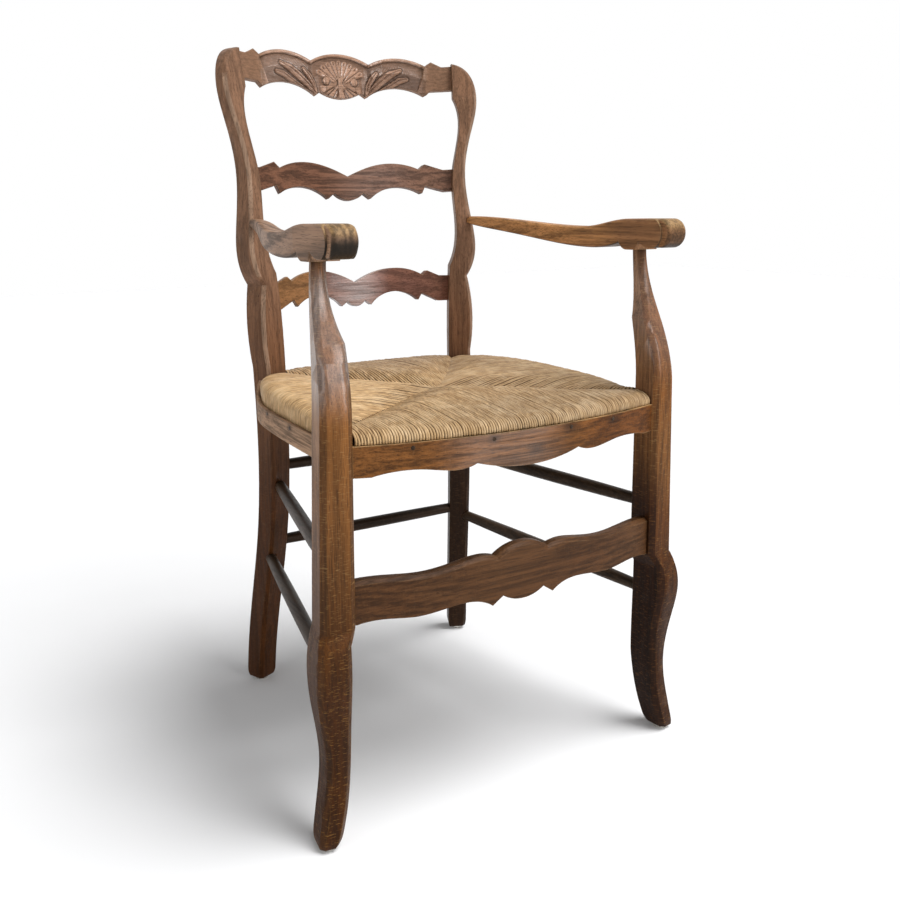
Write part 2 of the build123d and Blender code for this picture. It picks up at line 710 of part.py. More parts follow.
# The rush is one woven pad: crowned top, rolled edges, channels for the four rails
front_mid = apron_front + rush_set_back
front_drop = apron_bow - math.sqrt(apron_bow**2 - rush_front_half**2)
with BuildPart() as rush:
    edge = side_curve(strip_thick + fit, strip_front, strip_rear)
    with BuildSketch(plan(1, rush_low)):
        with BuildLine():
            corners = [(side * rush_front_half, front_mid + front_drop) for side, hand in hands]
            ThreePointArc(corners[0], (0, front_mid), corners[1])
            for side, hand in hands:
                points = [(side * x, y) for x, y in edge]
                Line((side * rush_front_half, front_mid + front_drop), points[0])
                ThreePointArc(*points[:3])
                ThreePointArc(*points[2:])
                Line(points[-1], (side * rush_back_half, rush_back))
            Line((-rush_back_half, rush_back), (rush_back_half, rush_back))
        make_face()
    extrude(amount=pocket)
    with BuildSketch(side_view):
        with BuildLine():
            Spline((-245, 462.5), (-190, 467.5), (-110, 472.5), (0, 475.5), (100, 475), (195, 472))
            Polyline((195, 472), (195, rush_low), (-245, rush_low), (-245, 462.5))
        make_face()
    extrude(amount=reach, both=True, mode=Mode.INTERSECT)
    fillet(rush.faces().sort_by(Axis.Z)[-1].edges(), rush_round)
    with BuildSketch(plan(1, rush_low)):
        bowed_band(apron_front - skirt, apron_bow + skirt, apron_thick + skirt + fit, channel_half, 1)
    extrude(amount=apron_top + fit - rush_low, mode=Mode.SUBTRACT)
    with BuildSketch(plan(1, rail_low - fit)):
        bowed_band(rail_front - fit, apron_bow + fit, rail_depth + 2 * fit, channel_half, 1)
    extrude(amount=rail_high - rail_low + 2 * fit, mode=Mode.SUBTRACT)
    channel = back_rail_deep / 2 + fit
    block((-channel_half, back_rail_y - channel - middle_back, rail_low + back_rail_rise - fit),
          (channel_half, back_rail_y + channel - middle_back, rail_high + back_rail_rise + fit),
          Mode.SUBTRACT)
    for side, hand in hands:
        with BuildSketch(plan(side, rail_low - fit)):
            side_band(rail_inset - fit, side_rail_wide + 2 * fit, channel_front, channel_rear)
        extrude(amount=side * (rail_high - rail_low + 2 * fit), mode=Mode.SUBTRACT)
        for turn, u, w in (
            (back_turn, back_in_seat - fit, back_front_seat - pocket_slack),
            (front_turn, front_in_seat - fit, front_back + pocket_slack - pocket),
        ):
            level = turned(side, turn)[2]
            with BuildSketch(level.offset(side * rush_low)):
                with Locations((u + pocket / 2, w + pocket / 2)):
                    Rectangle(pocket, pocket)
            extrude(amount=side * pocket, mode=Mode.SUBTRACT)
rush.part.label = "rush_seat"
export_step(rush.part, "parts/rush_seat.step")
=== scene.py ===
import math

import bpy
import numpy as np
from mathutils import Matrix, Vector


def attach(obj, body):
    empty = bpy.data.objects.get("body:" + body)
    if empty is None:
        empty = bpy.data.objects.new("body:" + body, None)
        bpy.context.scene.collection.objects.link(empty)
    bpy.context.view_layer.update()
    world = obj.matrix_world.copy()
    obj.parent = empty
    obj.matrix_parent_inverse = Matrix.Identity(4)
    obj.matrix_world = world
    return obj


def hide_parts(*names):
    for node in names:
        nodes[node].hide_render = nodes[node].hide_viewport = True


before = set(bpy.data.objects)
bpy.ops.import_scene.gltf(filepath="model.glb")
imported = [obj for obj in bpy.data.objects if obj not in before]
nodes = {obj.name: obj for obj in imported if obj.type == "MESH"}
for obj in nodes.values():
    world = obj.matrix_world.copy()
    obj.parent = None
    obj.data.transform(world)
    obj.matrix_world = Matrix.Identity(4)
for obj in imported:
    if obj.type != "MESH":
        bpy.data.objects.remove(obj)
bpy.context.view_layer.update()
scene = bpy.context.scene
scene.view_settings.view_transform = "Standard"
bpy.ops.object.select_all(action="DESELECT")
print("frame loaded:", len(nodes), "nodes")

middleBack = 0.00713  # the seat plan's reference line lies this far behind the middle of the depth
mergeWithin = 0.00001  # points of a solid's mesh nearer than this are one point
rows, hands = ("front", "back"), ("left", "right")


# Camera at the photograph's view
cameraSet = {
    "place": (-0.6086, -1.0763, 0.6878),
    "look": (0.4866, 0.855, -0.1797),
    "rollDegrees": -0.596,
    "lens": 37.603,
    "shift": (0.0287, -0.0727),
    "near": 0.01,
}


def addCamera(s):
    look = Vector(s["look"]).normalized()
    level = look.cross(Vector((0, 0, 1))).normalized()
    upright = level.cross(look)
    roll = math.radians(s["rollDegrees"])
    right = level * math.cos(roll) + upright * math.sin(roll)
    top = upright * math.cos(roll) - level * math.sin(roll)
    bpy.ops.object.camera_add(location=s["place"])
    camera = bpy.context.object
    turn = Matrix((right, top, -look)).transposed().to_4x4()
    camera.matrix_world = Matrix.Translation(Vector(s["place"])) @ turn
    camera.data.lens = s["lens"]
    camera.data.shift_x, camera.data.shift_y = s["shift"]
    camera.data.clip_start = s["near"]
    scene.camera = camera


addCamera(cameraSet)
print("camera placed")


# Small helpers for materials
def newMaterial(name):
    material = bpy.data.materials.new(name)
    material.use_nodes = True
    tree = material.node_tree
    return material, tree, tree.nodes["Principled BSDF"]


def put(tree, kind, **values):
    node = tree.nodes.new(kind)
    for key, value in values.items():
        setattr(node, key, value)
    return node


def maths(tree, operation, first, second=None):
    node = put(tree, "ShaderNodeMath", operation=operation)
    for socket, value in zip(node.inputs, (first, second)):
        if isinstance(value, (int, float)):
            socket.default_value = value
        elif value is not None:
            tree.links.new(value, socket)
    return node.outputs[0]


def noise(tree, vector, stretch, detail=3.0, roughness=0.6, distortion=0.0):
    scaled = put(tree, "ShaderNodeVectorMath", operation="MULTIPLY")
    tree.links.new(vector, scaled.inputs[0])
    scaled.inputs[1].default_value = stretch
    texture = put(tree, "ShaderNodeTexNoise")
    tree.links.new(scaled.outputs[0], texture.inputs["Vector"])
    texture.inputs["Scale"].default_value = 1.0
    texture.inputs["Detail"].default_value = detail
    texture.inputs["Roughness"].default_value = roughness
    texture.inputs["Distortion"].default_value = distortion
    return texture.outputs[0]


def span(tree, value, low, high, toLow=0.0, toHigh=1.0, smooth=False):
    node = put(tree, "ShaderNodeMapRange", interpolation_type="SMOOTHSTEP" if smooth else "LINEAR")
    tree.links.new(value, node.inputs["Value"])
    node.inputs["From Min"].default_value = low
    node.inputs["From Max"].default_value = high
    node.inputs["To Min"].default_value = toLow
    node.inputs["To Max"].default_value = toHigh
    return node.outputs[0]


def blendColours(tree, share, first, second, mode="MIX"):
    node = put(tree, "ShaderNodeMix", data_type="RGBA", blend_type=mode)
    pairs = ((node.inputs[0], share), (node.inputs[6], first), (node.inputs[7], second))
    for socket, value in pairs:
        if isinstance(value, (int, float)):
            socket.default_value = value
        elif isinstance(value, tuple):
            socket.default_value = (*value, 1.0)
        else:
            tree.links.new(value, socket)
    return node.outputs[2]


def newGroup(name, inputs, outputs):
    group = bpy.data.node_groups.new(name, "ShaderNodeTree")
    for label, kind in inputs:
        group.interface.new_socket(name=label, in_out="INPUT", socket_type=kind)
    for label, kind in outputs:
        group.interface.new_socket(name=label, in_out="OUTPUT", socket_type=kind)
    return group, put(group, "NodeGroupInput"), put(group, "NodeGroupOutput")


# What the camera sees, straight or in a reflection
def seenRays(tree):
    path = put(tree, "ShaderNodeLightPath")
    mirrored = maths(tree, "MAXIMUM", path.outputs["Is Glossy Ray"], path.outputs["Is Transmission Ray"])
    return maths(tree, "MAXIMUM", path.outputs["Is Camera Ray"], mirrored)


def dress(piece, material):
    piece.data.materials.clear()
    piece.data.materials.append(material)


# Grain: growth rings, fibre streaks, pores, flecks and patches, with the third axis along the wood
grainSet = {
    "Rings": {"stretch": (17, 17, 1.5), "detail": 2.0, "roughness": 0.45, "distortion": 0.35},
    "Streaks": {"stretch": (330, 330, 7), "detail": 4.0, "roughness": 0.62},
    "Pores": {"stretch": (1350, 1350, 55), "detail": 1.0, "roughness": 0.5},
    "Flecks": {"stretch": (130, 130, 950), "detail": 2.0, "roughness": 0.5, "distortion": 0.4},
    "Patches": {"stretch": (8, 8, 5)},
}
markSet = {"ringCount": 62.0, "Pores": (0.56, 0.68), "Flecks": (0.56, 0.70)}


def makeGrainGroup(noises, s):
    group, taken, given = newGroup(
        "woodGrain", [("Vector", "NodeSocketVector")], [(label, "NodeSocketFloat") for label in noises])
    marks = {label: noise(group, taken.outputs[0], **values) for label, values in noises.items()}
    waves = maths(group, "SINE", maths(group, "MULTIPLY", marks["Rings"], s["ringCount"]))
    marks["Rings"] = span(group, waves, -1, 1)
    for label in ("Pores", "Flecks"):
        marks[label] = span(group, marks[label], *s[label], smooth=True)
    for label, mark in marks.items():
        group.links.new(mark, given.inputs[label])
    return group


# Wear: pale rub along the arrises, broken up by a noise
wearSet = {"round": 0.0022, "samples": 6, "turn": (0.995, 0.86), "stretch": (45, 45, 30), "broken": (0.38, 0.62)}


def makeWearGroup(s):
    group, taken, given = newGroup(
        "edgeWear",
        [("Vector", "NodeSocketVector")],
        [("Mask", "NodeSocketFloat"), ("Normal", "NodeSocketVector")],
    )
    rounded = put(group, "ShaderNodeBevel", samples=s["samples"])
    rounded.inputs["Radius"].default_value = s["round"]
    flat = put(group, "ShaderNodeNewGeometry")
    dot = put(group, "ShaderNodeVectorMath", operation="DOT_PRODUCT")
    group.links.new(rounded.outputs[0], dot.inputs[0])
    group.links.new(flat.outputs["Normal"], dot.inputs[1])
    edge = span(group, dot.outputs["Value"], *s["turn"], smooth=True)
    patchy = span(group, noise(group, taken.outputs[0], s["stretch"]), *s["broken"])
    group.links.new(maths(group, "MULTIPLY", edge, patchy), given.inputs["Mask"])
    group.links.new(rounded.outputs[0], given.inputs["Normal"])
    return group


grainGroup = makeGrainGroup(grainSet, markSet)
wearGroup = makeWearGroup(wearSet)


# Where a stain, a painted light or a painted shade shows: faces that look a given way, inside limits along the axes
def stainAndLightMask(tree, split, tintEntry):
    mask = None
    if "facing" in tintEntry:
        shape = put(tree, "ShaderNodeNewGeometry")
        dot = put(tree, "ShaderNodeVectorMath", operation="DOT_PRODUCT")
        tree.links.new(shape.outputs["True Normal"], dot.inputs[0])
        dot.inputs[1].default_value = Vector(tintEntry["facing"]).normalized()
        mask = span(tree, dot.outputs["Value"], *tintEntry["turn"], smooth=True)
    for axis, key in enumerate("xyz"):
        for low, high in tintEntry.get(key, ()):
            limit = span(tree, split.outputs[axis], low, high, smooth=True)
            mask = limit if mask is None else maths(tree, "MULTIPLY", mask, limit)
    return mask


def addStainsAndPaintedLight(tree, split, colour, stainsAndPaintedLight):
    for tintEntry in stainsAndPaintedLight:
        mask = maths(tree, "MULTIPLY", stainAndLightMask(tree, split, tintEntry), tintEntry["share"])
        colour = blendColours(tree, mask, colour, tintEntry["tone"], tintEntry.get("mode", "MIX"))
    return colour


# What all the wood finishes share: how the marks of the grain are read, and the polish
finishSet = {
    "axes": {"x": (1, 2, 0), "y": (2, 0, 1), "z": (0, 1, 2)},
    "patchSpan": (0.35, 0.68), "figureSpan": (0.37, 0.63), "lightSide": 0.8,
    "roughSpan": (0.2, 0.8), "rougher": 0.08, "smoother": 0.05, "streakRelief": 0.7, "reliefDeep": 0.0004,
    "coatRough": 0.22, "coatBend": 1.8, "coatPatches": (0.1, 0.40), "coatStreaks": (0.35, 0.6),
    "coatBroken": 0.45, "coatFull": 1.1,
}


def addPolish(tree, split, grain, polish, f):
    rubbed = maths(tree, "MULTIPLY", stainAndLightMask(tree, split, polish),
                   span(tree, grain.outputs["Patches"], *f["coatPatches"]))
    broken = polish.get("broken", f["coatBroken"])
    rubbed = maths(tree, "MULTIPLY", rubbed,
                   span(tree, grain.outputs["Streaks"], *f["coatStreaks"], broken, f["coatFull"]))
    return maths(tree, "MULTIPLY", rubbed, polish["share"])


def makeWood(name, s, f=finishSet):
    material, tree, shader = newMaterial(name)
    place = put(tree, "ShaderNodeTexCoord")
    split = put(tree, "ShaderNodeSeparateXYZ")
    tree.links.new(place.outputs["Object"], split.inputs[0])
    turned = put(tree, "ShaderNodeCombineXYZ")
    for source, target in zip(f["axes"][s["grain"]], turned.inputs):
        tree.links.new(split.outputs[source], target)
    mapping = put(tree, "ShaderNodeMapping")
    mapping.inputs["Location"].default_value = s["offset"]
    tree.links.new(turned.outputs[0], mapping.inputs["Vector"])
    grain = put(tree, "ShaderNodeGroup", node_tree=grainGroup)
    wear = put(tree, "ShaderNodeGroup", node_tree=wearGroup)
    tree.links.new(mapping.outputs[0], grain.inputs[0])
    tree.links.new(place.outputs["Object"], wear.inputs[0])
    figure = maths(tree, "ADD", maths(tree, "MULTIPLY", grain.outputs["Rings"], s["ringShare"]),
                   maths(tree, "MULTIPLY", grain.outputs["Streaks"], 1 - s["ringShare"]))

    stainsAndPaintedLight = s.get("stainsAndPaintedLight", ())
    patches = span(tree, grain.outputs["Patches"], *f["patchSpan"], 0.0, s["patchShare"])
    colour = blendColours(tree, patches, s["tone"], s["patch"])
    colour = addStainsAndPaintedLight(tree, split, colour, [tintEntry for tintEntry in stainsAndPaintedLight if not tintEntry.get("late")])
    shade = span(tree, figure, *f["figureSpan"], 1 - s["contrast"], 1 + s["contrast"] * f["lightSide"])
    colour = blendColours(tree, 1.0, colour, shade, "MULTIPLY")
    for mask, share, tone in ((grain.outputs["Flecks"], "fleckShare", "worn"),
                              (grain.outputs["Pores"], "poreShare", "pore"),
                              (wear.outputs["Mask"], "wearShare", "worn")):
        colour = blendColours(tree, maths(tree, "MULTIPLY", mask, s[share]), colour, s[tone])
    colour = addStainsAndPaintedLight(tree, split, colour, [tintEntry for tintEntry in stainsAndPaintedLight if tintEntry.get("late")])
    # Carved hollows darkened by depth: partly dirt in the grooves, partly painted shade
    if "hollowDirtAndShade" in s:
        carved = put(tree, "ShaderNodeAttribute", attribute_name="carveDepth")
        hollowDirtAndShade = maths(tree, "MULTIPLY", carved.outputs["Fac"], s["hollowDirtAndShade"])
        colour = blendColours(tree, hollowDirtAndShade, colour, s["pore"])
    tree.links.new(colour, shader.inputs["Base Color"])

    rough = span(tree, figure, *f["roughSpan"], s["rough"] + f["rougher"], s["rough"] - f["smoother"])
    tree.links.new(rough, shader.inputs["Roughness"])
    relief = maths(tree, "SUBTRACT", maths(tree, "MULTIPLY", grain.outputs["Streaks"], f["streakRelief"]),
                   grain.outputs["Pores"])
    bump = put(tree, "ShaderNodeBump")
    bump.inputs["Strength"].default_value = s["relief"]
    bump.inputs["Distance"].default_value = f["reliefDeep"]
    tree.links.new(relief, bump.inputs["Height"])
    tree.links.new(wear.outputs["Normal"], bump.inputs["Normal"])
    tree.links.new(bump.outputs[0], shader.inputs["Normal"])
    shader.inputs["Specular IOR Level"].default_value = s["shine"]
    shader.inputs["Coat Roughness"].default_value = f["coatRough"]
    shader.inputs["Coat IOR"].default_value = f["coatBend"]
    if "polish" in s:
        tree.links.new(addPolish(tree, split, grain, s["polish"], f), shader.inputs["Coat Weight"])
    return material


# Stains, painted light and painted shade: limits run from none to full, metres; late ones go over the grain
leftSide = {"x": ((0.0, -0.1),)}
rightSide = {"x": ((0.0, 0.1),)}
# Inner face of the right front post; the stains that use it are painted shade on the side turned from the lamps
shadedInnerRight = {**rightSide, "facing": (-0.9, -0.43, 0), "turn": (0.6, 0.9)}
multiplyTone = {"share": 1.0, "mode": "MULTIPLY"}
lateMultiplyTone = {**multiplyTone, "late": True}
darkFoot = {"tone": (0.026, 0.008, 0.0006), "share": 0.92}
chamferDark = (0.07, 0.032, 0.013)


# A dark spot round a nail or a knot
def spotStain(axis, along, height, wide, low, high, tone, share):
    return {axis: ((along - wide, along), (along + wide, along)),
            "z": ((height - low, height), (height + high, height)), "tone": tone, "share": share}


apronSpots = tuple(
    spotStain("x", x, z, wide, 0.010, 0.008, (0.030, 0.012, 0.004), share)
    for x, z, wide, share in ((-0.0487, 0.4443, 0.012, 0.6), (0.0071, 0.4270, 0.020, 0.8),
                              (0.0577, 0.4440, 0.022, 0.85), (0.1268, 0.4440, 0.020, 0.95)))
stripSpots = tuple(
    spotStain("y", y, z, 0.014, 0.010, 0.010, (0.08, 0.046, 0.03), 0.8)
    for y, z in ((0.0143, 0.4440), (-0.0706, 0.4426)))


# Hands: golden on top, rubbed wear together with painted light from above; dark in front and underneath, painted shade
def handStainsAndShade(dark):
    return (
        {"facing": (0, -0.6, 1), "turn": (0.4, 0.75), "y": ((-0.200, -0.212),), "z": ((0.660, 0.672),),
         "tone": (0.29, 0.18, 0.078), "share": 0.85},
        {"facing": (0, -1, -0.2), "turn": (0.3, 0.6), "y": ((-0.194, -0.204),), "z": ((0.674, 0.656),),
         "tone": (0.014, 0.011, 0.008), "share": dark, "late": True},
        {"facing": (0, 0, -1), "turn": (0.55, 0.85), "tone": (0.03, 0.02, 0.013), "share": 0.85, "late": True})


oak = {
    "grain": "z", "offset": (0.0, 0.0, 0.0), "ringShare": 0.15, "contrast": 0.45,
    "tone": (0.215, 0.084, 0.020), "patch": (0.175, 0.085, 0.036), "patchShare": 0.35,
    "worn": (0.30, 0.175, 0.085), "wearShare": 0.4, "pore": (0.020, 0.009, 0.004), "poreShare": 0.55,
    "fleckShare": 0.06, "rough": 0.42, "relief": 0.35, "shine": 0.11,
}
slatOak = {**oak, "grain": "x", "ringShare": 0.2, "wearShare": 0.8, "worn": (0.36, 0.22, 0.12)}
rungOak = {**oak, "wearShare": 0.1, "rough": 0.36}
frontFace = {"facing": (0, -1, 0), "turn": (0.0, 0.3)}
woods = {
    "frontPostOak": {
        **oak, "worn": (0.40, 0.235, 0.095), "fleckShare": 0.32, "contrast": 0.36, "patchShare": 0.2,
        "polish": {"x": ((0.5, -0.1),), "z": ((0.47, 0.53), (0.64, 0.60)), "share": 0.95, "broken": 0.8},
        "stainsAndPaintedLight": (
            {"z": ((0.46, 0.54),), "tone": (0.175, 0.074, 0.032), "share": 0.7},
            {"z": ((0.630, 0.645),), "tone": (0.02, 0.012, 0.008), "share": 0.85},
            {**darkFoot, "z": ((0.52, 0.14),)},
            # Painted shade: the inner face of the right leg darkened, as the side turned from the lamps
            {**shadedInnerRight, "z": ((0.42, 0.28),), "tone": (0.016, 0.007, 0.002), "share": 0.6},
            # Painted light: the left post's outer face is made paler and greyer, standing for light falling on that
            # side
            {"facing": (-1, 0, 0), "turn": (0.9, 0.96), "z": ((0.40, 0.47),),
             "tone": (0.30, 0.165, 0.09), "share": 0.8},
            {**rightSide, **multiplyTone, "z": ((0.40, 0.46), (0.60, 0.54)), "tone": (0.85, 0.79, 0.72)},
            {**rightSide, "facing": (1, 0, 0), "turn": (0.9, 0.96), "tone": (0.20, 0.12, 0.075), "share": 0.7},
            # The chamfers are darkened, chosen by the way they face
            {"facing": (-0.78, -0.62, 0), "turn": (0.90, 0.99), "tone": chamferDark, "share": 0.35},
            {"facing": (0.62, -0.79, 0), "turn": (0.93, 0.97), "tone": chamferDark, "share": 0.6},
            {**rightSide, **lateMultiplyTone, "z": ((0.37, 0.29),), "tone": (0.86, 0.72, 0.52)},
            # More painted shade on the inner face of the right leg
            {**shadedInnerRight, **lateMultiplyTone, "z": ((0.40, 0.32),), "tone": (0.6, 0.5, 0.4)},
            {**leftSide, **lateMultiplyTone, "z": ((0.36, 0.16),), "tone": (1.0, 0.86, 0.52)},
        ),
    },
    "backPostOak": {
        **oak, "offset": (0.4, 0.2, 0.1), "tone": (0.205, 0.108, 0.062), "patch": (0.22, 0.13, 0.085),
        "contrast": 0.3, "patchShare": 0.2, "fleckShare": 0.12,
        "stainsAndPaintedLight": (
            {"z": ((0.66, 0.50),), "tone": (0.155, 0.064, 0.026), "share": 0.6},
            {**darkFoot, "z": ((0.55, 0.24),), "tone": (0.054, 0.0145, 0.0006)},
            # Painted shade: the lower right back post darkened, as in the shade under the seat
            {**rightSide, "z": ((0.46, 0.38),), "tone": (0.010, 0.005, 0.002), "share": 0.75},
            # Painted highlights: pale lines along the front chamfers of the back posts, standing for reflections of
            # the light
            {**leftSide, "facing": (-0.34, -0.93, 0), "turn": (0.955, 0.985), "z": ((0.42, 0.5),),
             "tone": (0.38, 0.26, 0.18), "share": 0.6},
            {**rightSide, "facing": (0.34, -0.93, 0), "turn": (0.955, 0.985), "z": ((0.42, 0.5),),
             "tone": (0.34, 0.23, 0.16), "share": 0.5},
        ),
    },
    "carvedOak": {
        **oak, "grain": "x", "offset": (0.7, 0.1, 0.3), "tone": (0.220, 0.120, 0.070), "patch": (0.220, 0.128, 0.083),
        "fleckShare": 0.03, "ringShare": 0.05, "contrast": 0.25, "poreShare": 0.25,
        "wearShare": 0.7, "worn": (0.42, 0.26, 0.16), "hollowDirtAndShade": 0.8,
        "polish": {**frontFace, "x": ((-0.14, -0.12), (0.14, 0.12)), "share": 0.3},
        "stainsAndPaintedLight": ({**frontFace, "x": ((-0.128, -0.12), (0.128, 0.12)), "tone": (0.44, 0.26, 0.178), "share": 0.72},),
    },
    "middleSlatOak": {
        **slatOak, "offset": (0.7, 0.1, 0.3), "tone": (0.165, 0.083, 0.054), "patch": (0.21, 0.11, 0.065),
        "polish": {"x": ((-0.03, 0.04),), "share": 0.12},
        "stainsAndPaintedLight": ({"x": ((0.0, -0.05),), "tone": (0.118, 0.048, 0.025), "share": 0.65},),
    },
    "lowerSlatOak": {
        **slatOak, "offset": (0.9, 0.5, 0.2), "tone": (0.195, 0.086, 0.062), "patch": (0.26, 0.125, 0.052),
        "contrast": 0.36,
        "polish": {"x": ((-0.07, -0.03), (0.06, 0.0)), "share": 1.0},
        "stainsAndPaintedLight": ({"x": ((-0.04, -0.08),), "tone": (0.25, 0.122, 0.042), "share": 0.8},),
    },
    "apronOak": {
        **oak, "grain": "x", "offset": (1.7, 0.4, 0.3), "tone": (0.148, 0.055, 0.0125), "patch": (0.18, 0.073, 0.020),
        "contrast": 0.5, "worn": (0.44, 0.26, 0.115), "wearShare": 0.75,
        "polish": {"x": ((-0.13, -0.06), (0.07, 0.0)), "share": 0.6},
        "stainsAndPaintedLight": (
            {**multiplyTone, "x": ((0.05, 0.13),), "tone": (0.76, 0.66, 0.50)},
            # The apron's upward-facing top edge painted golden: partly a worn rim, partly painted light on the edge
            # the rush roll shades
            {"facing": (0, 0, 1), "turn": (0.6, 0.9), "tone": (0.50, 0.31, 0.14), "share": 0.9},
            *apronSpots,
        ),
    },
    "stretcherOak": {
        **oak, "grain": "x", "offset": (2.7, 0.9, 0.6), "tone": (0.073, 0.030, 0.0105), "patch": (0.095, 0.047, 0.020),
        "contrast": 0.42, "worn": (0.26, 0.16, 0.08), "wearShare": 0.65,
    },
    "armLeftOak": {
        **oak, "grain": "y", "offset": (0.3, 0.8, 0.2), "tone": (0.245, 0.140, 0.082), "contrast": 0.5,
        "ringShare": 0.25, "patch": (0.25, 0.16, 0.11), "worn": (0.40, 0.27, 0.17), "stainsAndPaintedLight": handStainsAndShade(0.97),
    },
    # The right arm's tones are raised as painted light, for its inner face that the lamps leave in shade; the
    # multiplied tone at the hand end takes part of it back
    "armRightOak": {
        **oak, "grain": "y", "offset": (0.6, 0.1, 0.4), "tone": (0.47, 0.225, 0.083),
        "patch": (0.42, 0.21, 0.085), "worn": (0.50, 0.33, 0.17),
        "stainsAndPaintedLight": ({**multiplyTone, "y": ((-0.10, -0.18),), "tone": (0.58, 0.58, 0.68)}, *handStainsAndShade(0.6)),
    },
    "stripOak": {
        **oak, "grain": "y", "offset": (0.5, 0.3, 0.9), "tone": (0.315, 0.190, 0.112), "patch": (0.31, 0.195, 0.12),
        "rough": 0.6, "stainsAndPaintedLight": stripSpots,
    },
    "sideRungOak": {**rungOak, "grain": "y", "tone": (0.040, 0.024, 0.014), "patch": (0.06, 0.036, 0.021)},
    "backRungOak": {**rungOak, "grain": "x", "tone": (0.028, 0.015, 0.008), "patch": (0.04, 0.022, 0.012)},
}
woodFor = {
    "apron": "apronOak", "front_stretcher": "stretcherOak", "crest_rail": "carvedOak", "middle_slat": "middleSlatOak",
    "lower_slat": "lowerSlatOak", "seat_rail_front": "backRungOak", "seat_rail_back": "backRungOak",
    "back_stretcher_upper": "backRungOak", "back_stretcher_lower": "backRungOak",
    "arm_left": "armLeftOak", "arm_right": "armRightOak",
}
for hand in hands:
    woodFor["front_post_" + hand] = "frontPostOak"
    woodFor["back_post_" + hand] = "backPostOak"
    woodFor["side_strip_" + hand] = "stripOak"
    for rung in ("side_stretcher_upper_", "side_stretcher_lower_", "seat_rail_"):
        woodFor[rung + hand] = "sideRungOak"
woodMaterials = {name: makeWood(name, s) for name, s in woods.items()}
for name, wood in woodFor.items():
    dress(nodes[name], woodMaterials[wood])
print("wood finishes:", len(woodMaterials))


# Nickel glides under the posts
nickelSet = {
    "dull": (0.42, 0.40, 0.36), "bright": (0.78, 0.76, 0.72),
    "scuff": (260, 260, 260), "scuffSpan": (0.3, 0.7), "rough": (0.18, 0.42),
}


def makeNickel(s):
    material, tree, shader = newMaterial("nickel")
    place = put(tree, "ShaderNodeTexCoord")
    scuff = noise(tree, place.outputs["Object"], s["scuff"])
    tree.links.new(blendColours(tree, scuff, s["dull"], s["bright"]), shader.inputs["Base Color"])
    tree.links.new(span(tree, scuff, *s["scuffSpan"], *s["rough"]), shader.inputs["Roughness"])
    shader.inputs["Metallic"].default_value = 1.0
    return material


nickel = makeNickel(nickelSet)
for row in rows:
    for hand in hands:
        dress(nodes["glide_" + row + "_" + hand], nickel)
print("glides plated")


# Rush seat: strands over the four rails, meeting in sunk seams from the corners
rushSet = {
    "pitch": 0.0031, "thick": 0.0035, "flat": 0.9, "sides": 6, "seed": 7, "shortest": 0.007, "slack": 1e-9,
    "corner": (0.2035, -0.1845), "rearCorner": (0.140, 0.163), "meet": -0.030, "seamCurve": 1.15,
    "frontHalf": 0.2015, "backHalf": 0.13175, "sideFront": -0.1805, "sideRear": 0.1425, "backEdge": 0.1855,
    "topPoints": ((-0.245, 0.4625), (-0.190, 0.4675), (-0.110, 0.4725), (0.0, 0.4755), (0.100, 0.475), (0.195, 0.472)),
    "topDegree": 4, "low": 0.4315, "frontLow": 0.4509, "flankUp": 0.004,
    "rollIn": 0.019, "rollShare": 0.6, "rollDown": 0.0115, "rollSteps": 6, "step": 0.012, "fewest": 3, "tuck": 0.0025,
    "underFront": 0.0135, "underRest": 0.001, "underGap": 0.004, "underSteps": 5,
    "valley": 0.009, "valleyWide": 0.034, "fullLength": 0.12, "crease": 0.0015, "creaseWide": 0.006, "puff": 0.0015,
    "frontBow": 0.741, "frontEdge": -0.2393, "sideInset": 0.0056,
    "sideFar": 0.218, "sideFarY": -0.130, "sideBow": 2.170, "sideJoin": 4.2, "sideRearBow": 0.300,
    "radiusRange": (0.92, 1.06), "uneven": 0.05, "wander": 0.0001, "waves": (40, 90), "phaseEnd": 6.28,
    "lift": 0.0003, "liftLimits": (-0.0005, 0.0006), "upright": 0.15, "twist": 22.0, "uvScale": 10, "uvShift": 50,
}


def sideEdge(y, s):
    turn = math.radians(s["sideJoin"])
    bow = s["sideBow"]
    centreX = s["sideFar"] - bow
    jointY = s["sideFarY"] + (bow - s["sideInset"]) * math.sin(turn)
    if y <= jointY:
        return centreX + math.sqrt((bow - s["sideInset"]) ** 2 - (y - s["sideFarY"]) ** 2)
    rear = s["sideRearBow"]
    rearX = centreX + (bow - rear) * math.cos(turn)
    rearY = s["sideFarY"] + (bow - rear) * math.sin(turn)
    return rearX + math.sqrt((rear - s["sideInset"]) ** 2 - (y - rearY) ** 2)


def frontEdge(x, s):
    return s["frontEdge"] + s["frontBow"] - math.sqrt(s["frontBow"] ** 2 - x * x)


def crownCurve(s):
    return np.polyfit(*zip(*s["topPoints"]), s["topDegree"])


# The seams: how far back one lies at x, and how far out one lies at y
def seamBack(x, corner, s):
    return s["meet"] + (corner[1] - s["meet"]) * min(abs(x) / corner[0], 1.0) ** s["seamCurve"]


def seamOut(y, s):
    farX, farY = s["corner"] if y < s["meet"] else s["rearCorner"]
    return farX * ((y - s["meet"]) / (farY - s["meet"])) ** (1 / s["seamCurve"])


